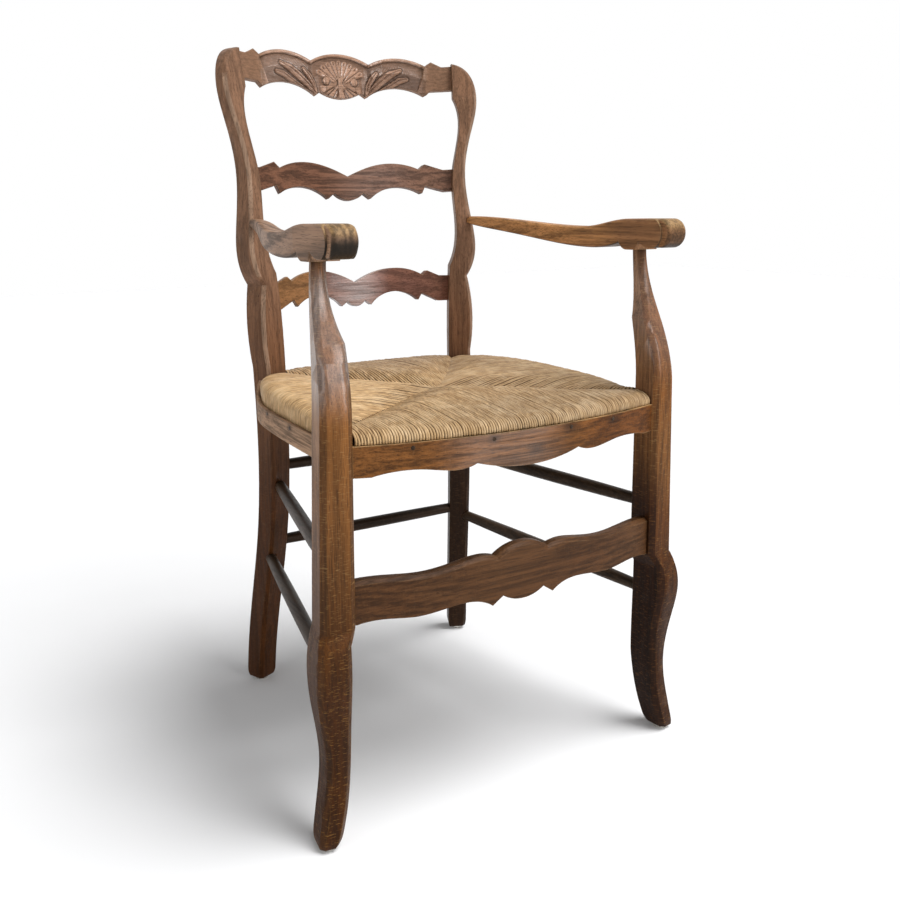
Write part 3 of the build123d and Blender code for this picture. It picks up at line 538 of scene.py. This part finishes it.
# Each run: where it leaves the edge, which way it goes, how far it is to the seam
def rushRuns(s):
    def places(low, high):
        return np.arange(low, high + s["slack"], s["pitch"])

    runs = []
    for x in places(-s["frontHalf"], s["frontHalf"]):
        edge = frontEdge(x, s)
        runs.append(("front", (x, edge), (0, 1), seamBack(x, s["corner"], s) - edge))
    for x in places(-s["backHalf"], s["backHalf"]):
        runs.append(("back", (x, s["backEdge"]), (0, -1), s["backEdge"] - seamBack(x, s["rearCorner"], s)))
    for y in places(s["sideFront"], s["sideRear"]):
        edge = sideEdge(y, s)
        for side in (-1, 1):
            runs.append(("side", (side * edge, y), (-side, 0), edge - seamOut(y, s)))
    return runs


# How far the weave lies under the crown at a distance from the seam
def seamDip(gap, length, s):
    full = min(1.0, length / s["fullLength"])
    valley = s["valley"] * full * math.exp(-((gap / s["valleyWide"]) ** 2))
    return valley + s["crease"] * math.exp(-gap / s["creaseWide"])


# Paths as pairs: distance from the edge, height
def topPath(field, startY, dirY, length, radius, top, s):
    inner = min(s["rollIn"], length * s["rollShare"])
    down = s["rollDown"] * inner / s["rollIn"]
    edgeZ = np.polyval(top, startY + dirY * inner) - seamDip(length - inner, length, s)
    if field == "front":
        path = [(radius, s["frontLow"])]
    else:
        path = [(radius, s["low"] + s["flankUp"]), (radius, (s["low"] + edgeZ - down) / 2)]
    for turn in np.linspace(0, math.pi / 2, s["rollSteps"]):
        path.append((inner - (inner - radius) * math.cos(turn), edgeZ - down + (down - radius) * math.sin(turn)))
    steps = max(s["fewest"], int(length / s["step"]))
    for share in np.linspace(0, 1, steps + 1)[1:]:
        far = inner + (length - inner) * share
        rise = s["puff"] * math.sin(math.pi * share)
        path.append((far, np.polyval(top, startY + dirY * far) - radius - seamDip(length - far, length, s) + rise))
    path.append((length + s["tuck"], path[-1][1] - s["tuck"]))
    return path


def underPath(field, length, radius, s):
    path = [] if field == "front" else [(radius, s["low"] + s["flankUp"])]
    begin = s["underFront"] if field == "front" else s["underRest"]
    for share in np.linspace(0, 1, s["underSteps"]):
        path.append((begin + s["underGap"] + (length - begin - s["underGap"]) * share, s["low"] + radius))
    return path


# One strand's thickness, tone and wandering, drawn in this order
def drawStrand(rng, s):
    return {
        "radius": s["thick"] / 2 * rng.uniform(*s["radiusRange"]),
        "tone": rng.uniform(),
        "sway": rng.normal(0, s["wander"], 3),
        "phase": rng.uniform(0, s["phaseEnd"], 2),
        "lift": float(np.clip(rng.normal(0, s["lift"]), *s["liftLimits"])),
    }


def strandLine(path, run, strand, s):
    _, (startX, startY), (dirX, dirY), _ = run
    sway, phase, waves = strand["sway"], strand["phase"], s["waves"]
    line = []
    for far, height in path:
        drift = (sway[0] + sway[1] * math.sin(far * waves[0] + phase[0])
                 + sway[2] * math.sin(far * waves[1] + phase[1]))
        line.append((startX + dirX * far - dirY * drift,
                     startY + dirY * far + dirX * drift - middleBack, height + strand["lift"]))
    return np.array(line)


# Rings of points along a strand; its sideways direction comes from the stretches that lie flat
def sweepStrand(points, radii, s):
    along = np.gradient(points, axis=0)
    along /= np.linalg.norm(along, axis=1)[:, None]
    across = np.cross(along, (0.0, 0.0, 1.0))
    steady = across[np.linalg.norm(across, axis=1) > s["upright"]].mean(axis=0)
    across[:] = steady / np.linalg.norm(steady)
    outward = np.cross(across, along)
    angles = np.arange(s["sides"]) * 2 * math.pi / s["sides"]
    ring = (np.cos(angles)[None, :, None] * across[:, None, :]
            + np.sin(angles)[None, :, None] * s["flat"] * outward[:, None, :])
    return (points[:, None, :] + ring * radii[:, None, None]).reshape(-1, 3)


# Faces of a strand and their places in the fibre texture, which turns with the twist
def strandFaces(line, first, shift, s):
    sides = s["sides"]
    reach = np.concatenate(([0], np.cumsum(np.linalg.norm(np.diff(line, axis=0), axis=1))))
    faces, uvs = [], []
    for i in range(len(line) - 1):
        here, after = first + i * sides, first + (i + 1) * sides
        u0, u1 = shift + reach[i:i + 2] * s["uvScale"]
        t0, t1 = reach[i:i + 2] * s["twist"]
        for k in range(sides):
            n = (k + 1) % sides
            faces.append((here + k, here + n, after + n, after + k))
            v0, v1 = k / sides, (k + 1) / sides
            uvs.extend(((u0, v0 + t0), (u0, v1 + t0), (u1, v1 + t1), (u1, v0 + t1)))
    last = first + (len(line) - 1) * sides
    for cap in (range(first + sides - 1, first - 1, -1), range(last, last + sides)):
        faces.append(tuple(cap))
        uvs.extend((shift, k / sides) for k in range(sides))
    return faces, uvs


def addWeave(vertices, faces, uvs, marks):
    mesh = bpy.data.meshes.new("rushWeave")
    mesh.from_pydata([tuple(v) for v in vertices], [], faces)
    mesh.uv_layers.new(name="strand").data.foreach_set("uv", np.array(uvs, dtype=np.float32).ravel())
    for label, values in marks.items():
        mesh.attributes.new(label, "FLOAT", "POINT").data.foreach_set("value", np.array(values, dtype=np.float32))
    mesh.shade_smooth()
    weave = bpy.data.objects.new("rushWeave", mesh)
    scene.collection.objects.link(weave)
    bpy.context.view_layer.objects.active = weave
    weave.select_set(True)
    bpy.ops.object.mode_set(mode="EDIT")
    bpy.ops.mesh.select_all(action="SELECT")
    bpy.ops.mesh.normals_make_consistent(inside=False)
    bpy.ops.object.mode_set(mode="OBJECT")
    weave.select_set(False)
    return weave


def weaveRush(s):
    rng = np.random.default_rng(s["seed"])
    top = crownCurve(s)
    rise = list(np.sin(np.arange(s["sides"]) * 2 * math.pi / s["sides"]))
    vertices, faces, uvs = [], [], []
    marks = {"strandTone": [], "strandPaintedShade": []}
    for run in rushRuns(s):
        field, (_, startY), (_, dirY), length = run
        if length < s["shortest"]:
            continue
        strand = drawStrand(rng, s)
        half = strand["radius"] * s["flat"]
        for path in (topPath(field, startY, dirY, length, half, top, s), underPath(field, length, half, s)):
            line = strandLine(path, run, strand, s)
            radii = strand["radius"] * (1 + s["uneven"] * rng.standard_normal(len(line)))
            newFaces, newUvs = strandFaces(line, len(vertices), rng.uniform(0, s["uvShift"]), s)
            vertices.extend(sweepStrand(line, radii, s))
            faces.extend(newFaces)
            uvs.extend(newUvs)
            marks["strandTone"].extend([strand["tone"]] * (len(line) * s["sides"]))
            # How far each point faces up round its strand: drives the painted shade at the strands' sides and the
            # painted highlight on their tops
            marks["strandPaintedShade"].extend(rise * len(line))
    return addWeave(vertices, faces, uvs, marks)


rushTones = {
    "dark": (0.14, 0.073, 0.025), "light": (0.60, 0.402, 0.208), "fibreSpan": (0.34, 0.66),
    "fibre": {"stretch": (3.0, 5.0, 1.0), "roughness": 0.65, "distortion": 0.2},
    "brown": (0.32, 0.194, 0.084), "brownShare": 0.75,
    "pale": (0.64, 0.475, 0.29), "paleShare": 0.5, "blotch": (38, 38, 38), "blotchSpan": (0.45, 0.72),
    # Painted shade between the strands and painted highlight on their tops
    "between": 0.24, "crown": 1.17, "crownSpan": (0.0, 0.75),
    "rough": 0.55, "shine": 0.3, "relief": 0.7, "reliefDeep": 0.0006,
    # Painted light: the left field multiplied brighter, as if lit from the left; then darker towards the front and
    # towards the back
    "tintsAndPaintedLight": (
        {**multiplyTone, "x": ((0.02, -0.16),), "tone": (1.25, 1.25, 1.22)},
        {**multiplyTone, "y": ((-0.13, -0.20),), "tone": (0.87, 0.89, 0.93)},
        {**multiplyTone, "y": ((0.0, 0.10),), "tone": (0.84, 0.83, 0.85)},
    ),
}


def makeRush(name, s):
    material, tree, shader = newMaterial(name)
    strip = put(tree, "ShaderNodeUVMap", uv_map="strand")
    place = put(tree, "ShaderNodeTexCoord")
    split = put(tree, "ShaderNodeSeparateXYZ")
    tree.links.new(place.outputs["Object"], split.inputs[0])
    tone = put(tree, "ShaderNodeAttribute", attribute_name="strandTone")
    crown = put(tree, "ShaderNodeAttribute", attribute_name="strandPaintedShade")
    fibre = noise(tree, strip.outputs[0], **s["fibre"])
    blotch = noise(tree, place.outputs["Object"], s["blotch"])
    colour = blendColours(tree, span(tree, fibre, *s["fibreSpan"]), s["dark"], s["light"])
    colour = blendColours(tree, span(tree, tone.outputs["Fac"], 0.0, 1.0, 0.0, s["brownShare"]), colour, s["brown"])
    colour = blendColours(tree, span(tree, blotch, *s["blotchSpan"], 0.0, s["paleShare"]), colour, s["pale"])
    # Painted shade and highlight: each strand darker at its sides and underneath, lighter on top
    shade = span(tree, crown.outputs["Fac"], *s["crownSpan"], s["between"], s["crown"])
    colour = blendColours(tree, 1.0, colour, shade, "MULTIPLY")
    colour = addStainsAndPaintedLight(tree, split, colour, s["tintsAndPaintedLight"])
    tree.links.new(colour, shader.inputs["Base Color"])
    shader.inputs["Roughness"].default_value = s["rough"]
    shader.inputs["Specular IOR Level"].default_value = s["shine"]
    bump = put(tree, "ShaderNodeBump")
    bump.inputs["Strength"].default_value = s["relief"]
    bump.inputs["Distance"].default_value = s["reliefDeep"]
    tree.links.new(fibre, bump.inputs["Height"])
    tree.links.new(bump.outputs[0], shader.inputs["Normal"])
    return material


rushWeave = weaveRush(rushSet)
rushWeave.data.materials.append(makeRush("rush", rushTones))
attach(rushWeave, "root")
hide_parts("rush_seat")
print("rush woven:", len(rushWeave.data.polygons), "faces")


# Stuffing: a thin dark pad under the strands, clear of the rails; its dark colour is painted shade for the inside of
# the seat seen through the gaps
stuffingShadePadSet = {
    "cuts": 36, "inset": 0.032, "rearInset": 0.0345, "under": 0.0075, "thick": 0.004, "seamSlant": 0.7,
    "dark": (0.03, 0.017, 0.008), "light": (0.10, 0.062, 0.03), "clump": (220, 220, 220), "rough": 0.9,
}


def addStuffingShadePad(s, rush):
    top = crownCurve(rush)
    bpy.ops.mesh.primitive_grid_add(x_subdivisions=s["cuts"], y_subdivisions=s["cuts"], size=2)
    pad = bpy.context.object
    pad.name = "rushStuffingShade"
    for vertex in pad.data.vertices:
        across, share = vertex.co.x, (vertex.co.y + 1) / 2
        front = frontEdge(across * rush["frontHalf"], rush) + s["inset"]
        y = front + (rush["backEdge"] - s["rearInset"] - front) * share
        half = sideEdge(min(max(y, rush["sideFront"]), rush["sideRear"]), rush) - s["inset"]
        x = across * half
        dip = seamDip(abs(abs(x) - seamOut(y, rush)) * s["seamSlant"], rush["fullLength"], rush)
        vertex.co = (x, y - middleBack, np.polyval(top, y) - dip - s["under"])
    solid = pad.modifiers.new("solid", "SOLIDIFY")
    solid.thickness = s["thick"]
    solid.offset = -1
    bpy.ops.object.modifier_apply(modifier="solid")
    material, tree, shader = newMaterial("rushShade")
    place = put(tree, "ShaderNodeTexCoord")
    clump = noise(tree, place.outputs["Object"], s["clump"])
    tree.links.new(blendColours(tree, clump, s["dark"], s["light"]), shader.inputs["Base Color"])
    shader.inputs["Roughness"].default_value = s["rough"]
    pad.data.materials.append(material)
    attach(pad, "root")
    pad.select_set(False)


addStuffingShadePad(stuffingShadePadSet, rushSet)
print("stuffing set under the weave")


# Crest rail: shell and leaves carved into the front face, sizes in millimetres
crestSet = {
    "centre": (0.0, 0.23287, 0.88502), "voxel": 0.0008, "perMetre": 1000,
    "leanDegrees": 8.5, "bow": 390.0, "thick": 10.5, "settle": 0.6,
    "fade": (1.0, 4.0), "sideFade": (153, 150), "deepest": 3.8, "hollowFrom": 0.9, "hollowSpan": 1.9,
    "humps": (((0, 33), (27, 29), (46.5, 20.2)), ((46.5, 20.2), (88, 30.2), (132, 17.5))),
    "rim": 4.2, "rimSlope": (-0.7, 0.4), "rimCut": 0.9, "ground": 2.1,
    "endLine": ((130.5, 14.0), (118.0, -21.0)), "endCut": 1.1, "endRise": 1.5,
    "endSlope": (0.0, 1.0), "endFade": (-1.0, 1.0),
    "cutWide": 0.8, "roundCut": 1.3, "beside": 0.5,
    "leaf": {"top": 0.1, "slope": 1.7, "round": 2.5, "vein": 2.0, "veinAt": 0.2, "veinWide": 0.17, "veinEnd": 0.7,
             "cut": 1.1, "beside": 0.4, "cutFrom": 0.9},
    "fronds": (
        {"line": ((41, -25), (53, -14), (66, -3), (80, 6.5), (95, 12.5)), "wide": (3.4, 5.2, 6.0, 5.8, 3.0)},
        {"line": ((47, -26), (62, -19), (78, -11), (92, -3), (103, -1)), "wide": (1.8, 3.0, 4.2, 4.8, 3.4)},
        {"line": ((40.5, -23), (44, -11), (50, -1), (58, 8)), "wide": (2.2, 3.8, 4.6, 3.0)},
    ),
    "shell": {"foot": -12.0, "step": 15.5, "half": 70.5, "wide": 43.0, "tall": 36.0, "inner": 10.0, "round": 3.4,
              "fill": 0.84, "slit": 0.1, "top": 0.1, "slope": 0.9, "floor": 1.5,
              "cup": 2.3, "cupBack": 4.8, "cupLong": 3.4, "cupWide": 1.4},
    "volute": {"place": (22.5, -6.5), "radius": 5.4, "top": 0.3, "slope": 0.25},
    "boss": {"waist": -8.0, "top": -1.0, "low": -17.0, "half": 3.4, "flare": 0.11, "slope": 0.7},
    "fan": {"from": -9.0, "below": -14.0, "soft": 1, "grooves": (20.0, 31.0, 50.0, 61.0), "wide": 1.0,
            "sideFade": (33, 31), "start": (8, 12), "top": 0.3, "deep": 2.6},
}


def circleThrough(points):
    (ax, ay), (bx, by), (cx, cy) = points
    d = 2 * (ax * (by - cy) + bx * (cy - ay) + cx * (ay - by))
    a2, b2, c2 = ax * ax + ay * ay, bx * bx + by * by, cx * cx + cy * cy
    x = (a2 * (by - cy) + b2 * (cy - ay) + c2 * (ay - by)) / d
    y = (a2 * (cx - bx) + b2 * (ax - cx) + c2 * (bx - ax)) / d
    return x, y, math.hypot(ax - x, ay - y)


def ease(low, high, value):
    t = np.clip((value - low) / (high - low), 0, 1)
    return t * t * (3 - 2 * t)


def groove(distance, wide):
    return np.exp(-((distance / wide) ** 2))


# Sunk ground inside the rim and the slanted ends, with a cut line along both
def sinkGround(x, v, s):
    rims = []
    for points in s["humps"]:
        cx, cy, r = circleThrough(points)
        rims.append(r - np.hypot(x - cx, v - cy))
    rim = np.where(x < s["humps"][0][2][0], rims[0], rims[1])
    (ex, ey), (fx, fy) = s["endLine"]
    inside = ((x - ex) * (fy - ey) - (v - ey) * (fx - ex)) / math.hypot(fx - ex, fy - ey)
    low, high = s["rimSlope"]
    field = ease(s["rim"] + low, s["rim"] + high, rim) * ease(*s["endSlope"], inside)
    depth = s["ground"] * field
    depth += s["rimCut"] * groove(rim - s["rim"], s["cutWide"]) * ease(*s["endFade"], inside)
    depth += s["endCut"] * groove(inside, s["cutWide"]) * ease(s["rim"] - s["endRise"], s["rim"], rim)
    return depth, field


# Distance to a bent line, as a signed share of its width there, and in millimetres past its edge
def frondReach(x, v, frond):
    best = np.full(x.shape, 9.0)
    past = np.full(x.shape, 99.0)
    line, wide = frond["line"], frond["wide"]
    for i in range(len(line) - 1):
        (ax, ay), (bx, by) = line[i], line[i + 1]
        t = np.clip(((x - ax) * (bx - ax) + (v - ay) * (by - ay)) / ((bx - ax) ** 2 + (by - ay) ** 2), 0, 1)
        gap = np.hypot(x - ax - t * (bx - ax), v - ay - t * (by - ay))
        half = wide[i] + (wide[i + 1] - wide[i]) * t
        side = np.sign((bx - ax) * (v - ay) - (by - ay) * (x - ax))
        best = np.where(gap / half < np.abs(best), side * gap / half, best)
        past = np.minimum(past, gap - half)
    return best, past


def raiseFronds(x, v, depth, field, s):
    leaf = s["leaf"]
    for frond in s["fronds"]:
        share, past = frondReach(x, v, frond)
        off = np.abs(share)
        vein = leaf["vein"] * groove(share - leaf["veinAt"], leaf["veinWide"]) * ease(1.0, leaf["veinEnd"], off)
        raised = leaf["top"] + leaf["slope"] * off ** leaf["round"] + vein
        depth = np.where(off < 1, np.minimum(depth, raised), depth)
        depth += leaf["cut"] * groove(past - leaf["beside"], s["cutWide"]) * field * (off > leaf["cutFrom"])
    return depth


# Fingers of the shell, each with a cup near its tip
def raiseShell(x, v, depth, s):
    shell = s["shell"]
    angle = np.degrees(np.arctan2(x, v - shell["foot"]))
    reach = np.hypot(x, v - shell["foot"])
    sine, cosine = np.sin(np.radians(angle)), np.cos(np.radians(angle))
    tip = 1 / np.sqrt((sine / shell["wide"]) ** 2 + (cosine / shell["tall"]) ** 2)
    across = reach * np.sin(np.radians(angle - shell["step"] * np.round(angle / shell["step"])))
    half = reach * math.sin(math.radians(shell["step"] / 2))
    beyond = np.maximum(reach - (tip - shell["round"]), 0) / shell["round"]
    finger = half * shell["fill"] - shell["slit"]
    petal = shell["top"] + shell["slope"] * (across / finger) ** 2
    petal += shell["cup"] * groove(reach - tip + shell["cupBack"], shell["cupLong"]) * groove(across, shell["cupWide"])
    spread = angle < shell["half"]
    zone = spread & (reach > shell["inner"]) & (beyond**2 + (across / finger) ** 2 < 1)
    depth = np.where(zone, petal, depth)
    depth = np.where(spread & (reach <= shell["inner"]), shell["floor"], depth)
    between = ~spread & (v > s["fan"]["below"] - s["fan"]["soft"]) & (x < s["volute"]["place"][0])
    return np.where(between, shell["floor"], depth)


def raiseVolutes(x, v, depth, s):
    volute = s["volute"]
    curl = np.hypot(x - volute["place"][0], v - volute["place"][1])
    button = volute["top"] + volute["slope"] * (curl / volute["radius"]) ** 2
    depth = np.where(curl < volute["radius"], button, depth)
    return depth + s["roundCut"] * groove(curl - volute["radius"] - s["beside"], s["cutWide"])


def raiseBoss(x, v, depth, s):
    boss = s["boss"]
    half = boss["half"] + boss["flare"] * (v - boss["waist"]) ** 2
    tall = (v < boss["top"]) & (v > boss["low"])
    depth = np.where(tall & (x < half), boss["slope"] * (x / half) ** 2, depth)
    return depth + s["roundCut"] * groove(x - half - s["beside"], s["cutWide"]) * tall


def cutFan(x, v, depth, fan):
    reach = np.hypot(x, v - fan["from"])
    below = ease(fan["below"] + fan["soft"], fan["below"] - fan["soft"], v) * ease(*fan["sideFade"], x)
    turn = np.degrees(np.arctan2(x, fan["from"] - v))
    ribs = np.zeros(x.shape)
    for line in fan["grooves"]:
        ribs = np.maximum(ribs, groove(reach * np.sin(np.radians(turn - line)), fan["wide"]))
    ribs *= ease(*fan["start"], reach)
    return depth * (1 - below) + below * (fan["top"] + fan["deep"] * ribs)


def carvingDepth(x, v, s):
    x = np.abs(x)
    depth, field = sinkGround(x, v, s)
    depth = raiseFronds(x, v, depth, field, s)
    depth = raiseShell(x, v, depth, s)
    depth = raiseVolutes(x, v, depth, s)
    depth = raiseBoss(x, v, depth, s)
    depth = cutFan(x, v, depth, s["fan"])
    return np.clip(depth, 0, s["deepest"])


# A merged copy of a solid, to be worked further
def workCopy(name, newName):
    piece = nodes[name].copy()
    piece.data = nodes[name].data.copy()
    piece.name = newName
    piece.parent = None
    scene.collection.objects.link(piece)
    piece.hide_viewport = piece.hide_render = False
    piece.hide_set(False)
    bpy.ops.object.select_all(action="DESELECT")
    bpy.context.view_layer.objects.active = piece
    piece.select_set(True)
    bpy.ops.object.mode_set(mode="EDIT")
    bpy.ops.mesh.select_all(action="SELECT")
    bpy.ops.mesh.remove_doubles(threshold=mergeWithin)
    bpy.ops.object.mode_set(mode="OBJECT")
    dress(piece, woodMaterials[woodFor[name]])
    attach(piece, "root")
    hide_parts(name)
    return piece


# Points are read round the bow's axis: x, v up the leaning face, and inward from the front face
def carveCrest(s):
    crest = workCopy("crest_rail", "crestCarved")
    crest.data.remesh_voxel_size = s["voxel"]
    crest.data.remesh_voxel_adaptivity = 0.0
    bpy.ops.object.voxel_remesh()
    bpy.ops.object.shade_smooth()
    mesh = crest.data
    flatList = np.empty(len(mesh.vertices) * 3)
    mesh.vertices.foreach_get("co", flatList)
    spots = (flatList.reshape(-1, 3) - s["centre"]) * s["perMetre"]
    lean = math.radians(s["leanDegrees"])
    x = spots[:, 0]
    v = spots[:, 1] * math.sin(lean) + spots[:, 2] * math.cos(lean)
    w = spots[:, 1] * math.cos(lean) - spots[:, 2] * math.sin(lean) + s["bow"]
    out = np.hypot(x, w)
    inward = out - s["bow"]
    settled = np.where(np.abs(inward) < s["settle"], 0.0, inward)
    settled = np.where(np.abs(inward - s["thick"]) < s["settle"], s["thick"], settled)
    depth = carvingDepth(x, v, s) * (1 - ease(*s["fade"], inward)) * ease(*s["sideFade"], np.abs(x))
    newOut = s["bow"] + settled + depth
    x2, w2 = x * newOut / out, w * newOut / out - s["bow"]
    moved = np.stack((x2, v * math.sin(lean) + w2 * math.cos(lean), v * math.cos(lean) - w2 * math.sin(lean)), axis=1)
    mesh.vertices.foreach_set("co", (moved / s["perMetre"] + s["centre"]).ravel())
    # How far the carving is darkened: partly dirt in the grooves, partly painted shade
    hollowDirtAndShade = np.clip((depth - s["hollowFrom"]) / s["hollowSpan"], 0, 1).astype(np.float32)
    mesh.attributes.new("carveDepth", "FLOAT", "POINT").data.foreach_set("value", hollowDirtAndShade)
    mesh.update()
    crest.select_set(False)
    return crest


crestCarved = carveCrest(crestSet)
print("crest carved:", len(crestCarved.data.polygons), "faces")


# Posts with the lower corners of their feet rounded off
footSet = {
    "cuts": (0.0065, 0.0085, 0.011, 0.014, 0.018), "low": 0.005, "slack": 1e-6,
    "drawIn": 0.14, "curve": 2.5, "smoothDegrees": 18,
}


def roundFoot(piece, s):
    bpy.ops.object.mode_set(mode="EDIT")
    for height in s["cuts"]:
        bpy.ops.mesh.select_all(action="SELECT")
        bpy.ops.mesh.bisect(plane_co=(0, 0, height), plane_no=(0, 0, 1))
    bpy.ops.object.mode_set(mode="OBJECT")
    top = s["cuts"][-1]
    feet = [v for v in piece.data.vertices if v.co.z < top - s["slack"]]
    middle = sum((v.co for v in feet), Vector()) / len(feet)
    for vertex in feet:
        share = (top - vertex.co.z) / (top - s["low"])
        keep = 1 - s["drawIn"] * min(share, 1.0) ** s["curve"]
        vertex.co.x = middle.x + (vertex.co.x - middle.x) * keep
        vertex.co.y = middle.y + (vertex.co.y - middle.y) * keep
    bpy.ops.object.shade_smooth_by_angle(angle=math.radians(s["smoothDegrees"]))
    bpy.ops.object.modifier_add(type="WEIGHTED_NORMAL")
    piece.modifiers[-1].keep_sharp = True
    bpy.ops.object.modifier_apply(modifier=piece.modifiers[-1].name)


for row in rows:
    for hand in hands:
        post = workCopy(row + "_post_" + hand, row + "Post" + hand.title())
        roundFoot(post, footSet)
        post.select_set(False)
print("feet rounded")


# Dark plugs over the nails of the apron and the side strips
plugSet = {
    "radius": 0.0024, "proud": 0.0004, "deep": 0.002, "sides": 20, "bevel": 0.0003, "bevelSteps": 2,
    "apron": ((-0.1435, -0.2341, 0.4443), (-0.0487, -0.2465, 0.4443),
              (0.0577, -0.2459, 0.4449), (0.1268, -0.2372, 0.4444)),
    "apronCentre": (0.0, 0.4929), "strip": ((0.2127, 0.0143, 0.4440), (0.2170, -0.0706, 0.4426)),
}


def addPlugs(s):
    centreX, centreY = s["apronCentre"]
    spots = [(Vector((x, y, z)), Vector((x - centreX, y - centreY, 0)).normalized()) for x, y, z in s["apron"]]
    for x, y, z in s["strip"]:
        for side in (-1, 1):
            spots.append((Vector((side * x, y, z)), Vector((side, 0, 0))))
    bpy.ops.object.select_all(action="DESELECT")
    plugs = []
    for place, facing in spots:
        bpy.ops.mesh.primitive_cylinder_add(vertices=s["sides"], radius=s["radius"], depth=s["deep"],
                                            location=place + facing * (s["proud"] - s["deep"] / 2),
                                            rotation=facing.to_track_quat("Z", "Y").to_euler())
        plug = bpy.context.object
        bpy.ops.object.mode_set(mode="EDIT")
        bpy.ops.mesh.select_all(action="SELECT")
        bpy.ops.mesh.bevel(offset=s["bevel"], segments=s["bevelSteps"])
        bpy.ops.object.mode_set(mode="OBJECT")
        plugs.append(plug)
    for plug in plugs:
        plug.select_set(True)
    bpy.ops.object.join()
    joined = bpy.context.object
    bpy.ops.object.transform_apply(location=True, rotation=True, scale=True)
    joined.name = "nailPlugs"
    joined.data.materials.append(makeWood("plugOak", woods["sideRungOak"]))
    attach(joined, "root")
    joined.select_set(False)


addPlugs(plugSet)
print("nail plugs set")


# Floor and studio light
stageSet = {
    "floorSize": 16.0, "floorColour": (0.872, 0.875, 0.883), "floorRough": 0.9, "floorShine": 0.1,
    "floorLift": 0.02, "ambient": 0.30,
}
skyLamp = {"from": (0.37, -0.365, 1.0), "spread": 36.0, "power": 2.9}
lightBoxes = {
    "frontBox": {"place": (1.0, -2.55, 1.2), "aim": (0, 0, 0.6), "wide": 1.4, "tall": 1.8, "power": 26.0},
    "sideBox": {"place": (-2.4, -0.8, 0.9), "aim": (0, 0, 0.5), "wide": 1.2, "tall": 1.2, "power": 5.0},
}


def addFloor(s):
    bpy.ops.mesh.primitive_plane_add(size=s["floorSize"])
    floor = bpy.context.object
    floor.name = "floor"
    material, tree, shader = newMaterial("paleFloor")
    shader.inputs["Base Color"].default_value = (*s["floorColour"], 1.0)
    shader.inputs["Roughness"].default_value = s["floorRough"]
    shader.inputs["Specular IOR Level"].default_value = s["floorShine"]
    shader.inputs["Emission Color"].default_value = (1, 1, 1, 1)
    tree.links.new(maths(tree, "MULTIPLY", seenRays(tree), s["floorLift"]), shader.inputs["Emission Strength"])
    floor.data.materials.append(material)


def addSkyLamp(s):
    bpy.ops.object.light_add(type="SUN", location=s["from"])
    lamp = bpy.context.object
    lamp.name = "skyLamp"
    lamp.data.angle = math.radians(s["spread"])
    lamp.data.energy = s["power"]
    lamp.rotation_euler = (-Vector(s["from"])).to_track_quat("-Z", "Y").to_euler()


def addLightBox(name, s):
    bpy.ops.object.light_add(type="AREA", location=s["place"])
    lamp = bpy.context.object
    lamp.name = name
    lamp.data.shape = "RECTANGLE"
    lamp.data.size = s["wide"]
    lamp.data.size_y = s["tall"]
    lamp.data.energy = s["power"]
    lamp.rotation_euler = (Vector(s["aim"]) - Vector(s["place"])).to_track_quat("-Z", "Y").to_euler()


def addWorld(s):
    world = bpy.data.worlds.new("studio")
    scene.world = world
    world.use_nodes = True
    tree = world.node_tree
    backdrop = tree.nodes["Background"]
    backdrop.inputs["Color"].default_value = (1, 1, 1, 1)
    tree.links.new(span(tree, seenRays(tree), 0, 1, s["ambient"], 1.0), backdrop.inputs["Strength"])


addFloor(stageSet)
addWorld(stageSet)
addSkyLamp(skyLamp)
for boxName, boxSet in lightBoxes.items():
    addLightBox(boxName, boxSet)
print("stage lit")
